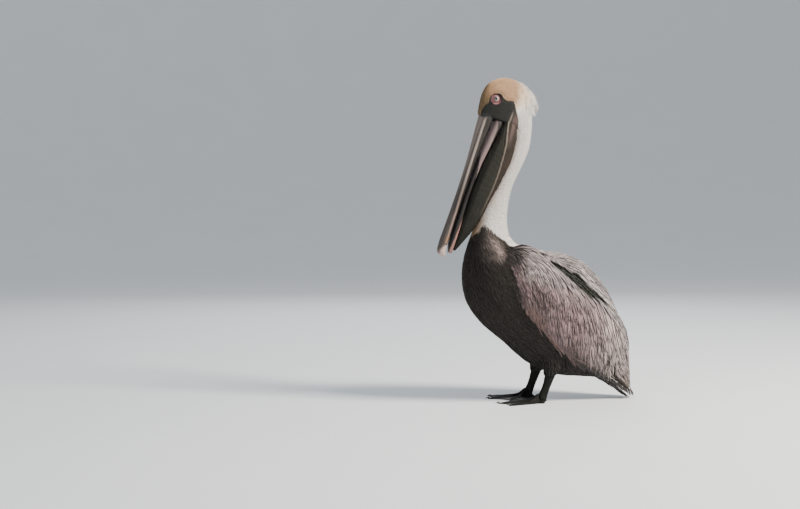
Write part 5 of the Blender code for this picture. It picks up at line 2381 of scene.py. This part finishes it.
# ---------------------------------------------------------------- studio
@dataclass
class Studio:
    """Floor, lights and camera."""

    distance: float = 3.5
    turn: float = math.radians(72.0)
    look: float = math.radians(76.93)
    drop: float = math.radians(2.62)
    lens: float = 70.4
    sensor: float = 36.0
    camera_height: float = 0.486
    floor_radius: float = 4.6
    sweep: float = 5.0
    sweep_height: float = 2.6
    sweep_steps: int = 14

    def build(self) -> None:
        """Build the floor, the lights and the camera."""
        self.floor()
        self.lights()
        self.camera()

    def floor(self) -> None:
        """Lay the pale floor and sweep it up all round into a backdrop."""
        bpy.ops.object.select_all(action="DESELECT")
        bpy.ops.mesh.primitive_circle_add(vertices=128, radius=self.floor_radius, fill_type="NGON")
        floor = bpy.context.view_layer.objects.active
        floor.name = "studio_floor"
        bpy.ops.object.mode_set(mode="EDIT")
        bpy.ops.mesh.region_to_loop()
        radius, height = self.floor_radius, 0.0
        for step in range(1, self.sweep_steps + 1):
            angle = step / self.sweep_steps * math.pi / 2
            wider = self.floor_radius + self.sweep * math.sin(angle)
            higher = self.sweep_height * (1 - math.cos(angle))
            bpy.ops.mesh.extrude_edges_move(TRANSFORM_OT_translate={"value": (0, 0, higher - height)})
            grow = wider / radius
            bpy.ops.transform.resize(value=(grow, grow, 1), center_override=(0, 0, 0))
            radius, height = wider, higher
        bpy.ops.object.mode_set(mode="OBJECT")
        bpy.ops.object.shade_smooth()
        floor.data.materials.append(FloorFinish().make())

    def lamp(self, name: str, place: tuple, aim: tuple, size: float, power: float, colour: tuple) -> None:
        """Hang one square soft light.

        Args:
            name: Its name.
            place: Where it hangs.
            aim: Where it points.
            size: The length of its side.
            power: Its watts.
            colour: Its colour.
        """
        light = bpy.data.lights.new(name, "AREA")
        light.energy, light.size, light.color = power, size, colour
        obj = bpy.data.objects.new(name, light)
        obj.location = place
        way = Vector(aim) - Vector(place)
        obj.rotation_mode = "QUATERNION"
        obj.rotation_quaternion = way.to_track_quat("-Z", "Y")
        bpy.context.scene.collection.objects.link(obj)

    def lights(self) -> None:
        """Hang the key behind the bird on its left, and two soft fills."""
        aim = (0.0, 0.0, 0.40)
        self.lamp("key", (1.7, 2.0, 2.3), aim, 1.1, 310.0, (1.0, 0.93, 0.84))
        self.lamp("fill", (2.6, -2.2, 1.6), aim, 2.4, 34.0, (0.93, 0.96, 1.0))
        self.lamp("far_side", (-2.4, 0.4, 1.8), aim, 2.0, 34.0, (0.97, 0.98, 1.0))
        world = bpy.data.worlds.new("studio_air")
        world.use_nodes = True
        background = world.node_tree.nodes["Background"]
        background.inputs["Color"].default_value = (0.62, 0.67, 0.72, 1.0)
        background.inputs["Strength"].default_value = 0.85
        bpy.context.scene.world = world

    def camera(self) -> None:
        """Place the camera."""
        camera = bpy.data.cameras.new("camera")
        camera.lens, camera.sensor_width = self.lens, self.sensor
        obj = bpy.data.objects.new("camera", camera)
        along, across = self.distance * math.sin(self.turn), -self.distance * math.cos(self.turn)
        obj.location = (along, across, self.camera_height)
        level = math.cos(self.drop)
        ahead = Vector((-math.sin(self.look) * level, math.cos(self.look) * level, -math.sin(self.drop)))
        obj.rotation_mode = "QUATERNION"
        obj.rotation_quaternion = ahead.to_track_quat("-Z", "Y")
        bpy.context.scene.collection.objects.link(obj)
        bpy.context.scene.camera = obj


def main() -> None:
    """Build the bird and its studio in order."""
    logging.basicConfig(level=logging.INFO, format="%(message)s")
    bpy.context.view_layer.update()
    marks = Landmarks()
    markings = Markings(marks)
    skin = Skin(marks, markings)
    skin.build()
    skin.mesh.uv_layers.new(name=BAKING_MAP)
    skin.face_table()
    LOG.info("body_skin: %d triangles", len(skin.tris))
    plumage = Plumage(skin)
    plumage.build()
    FlightFeathers(plumage).build()
    skin.unwrap()
    Bill(markings, BillFrame()).build()
    for side in (1, -1):
        Eye(side).build()
        Leg(side).build()
    LOG.info("plumage: %d triangles", plumage.triangles)
    Studio().build()


if __name__ == "__main__":
    main()
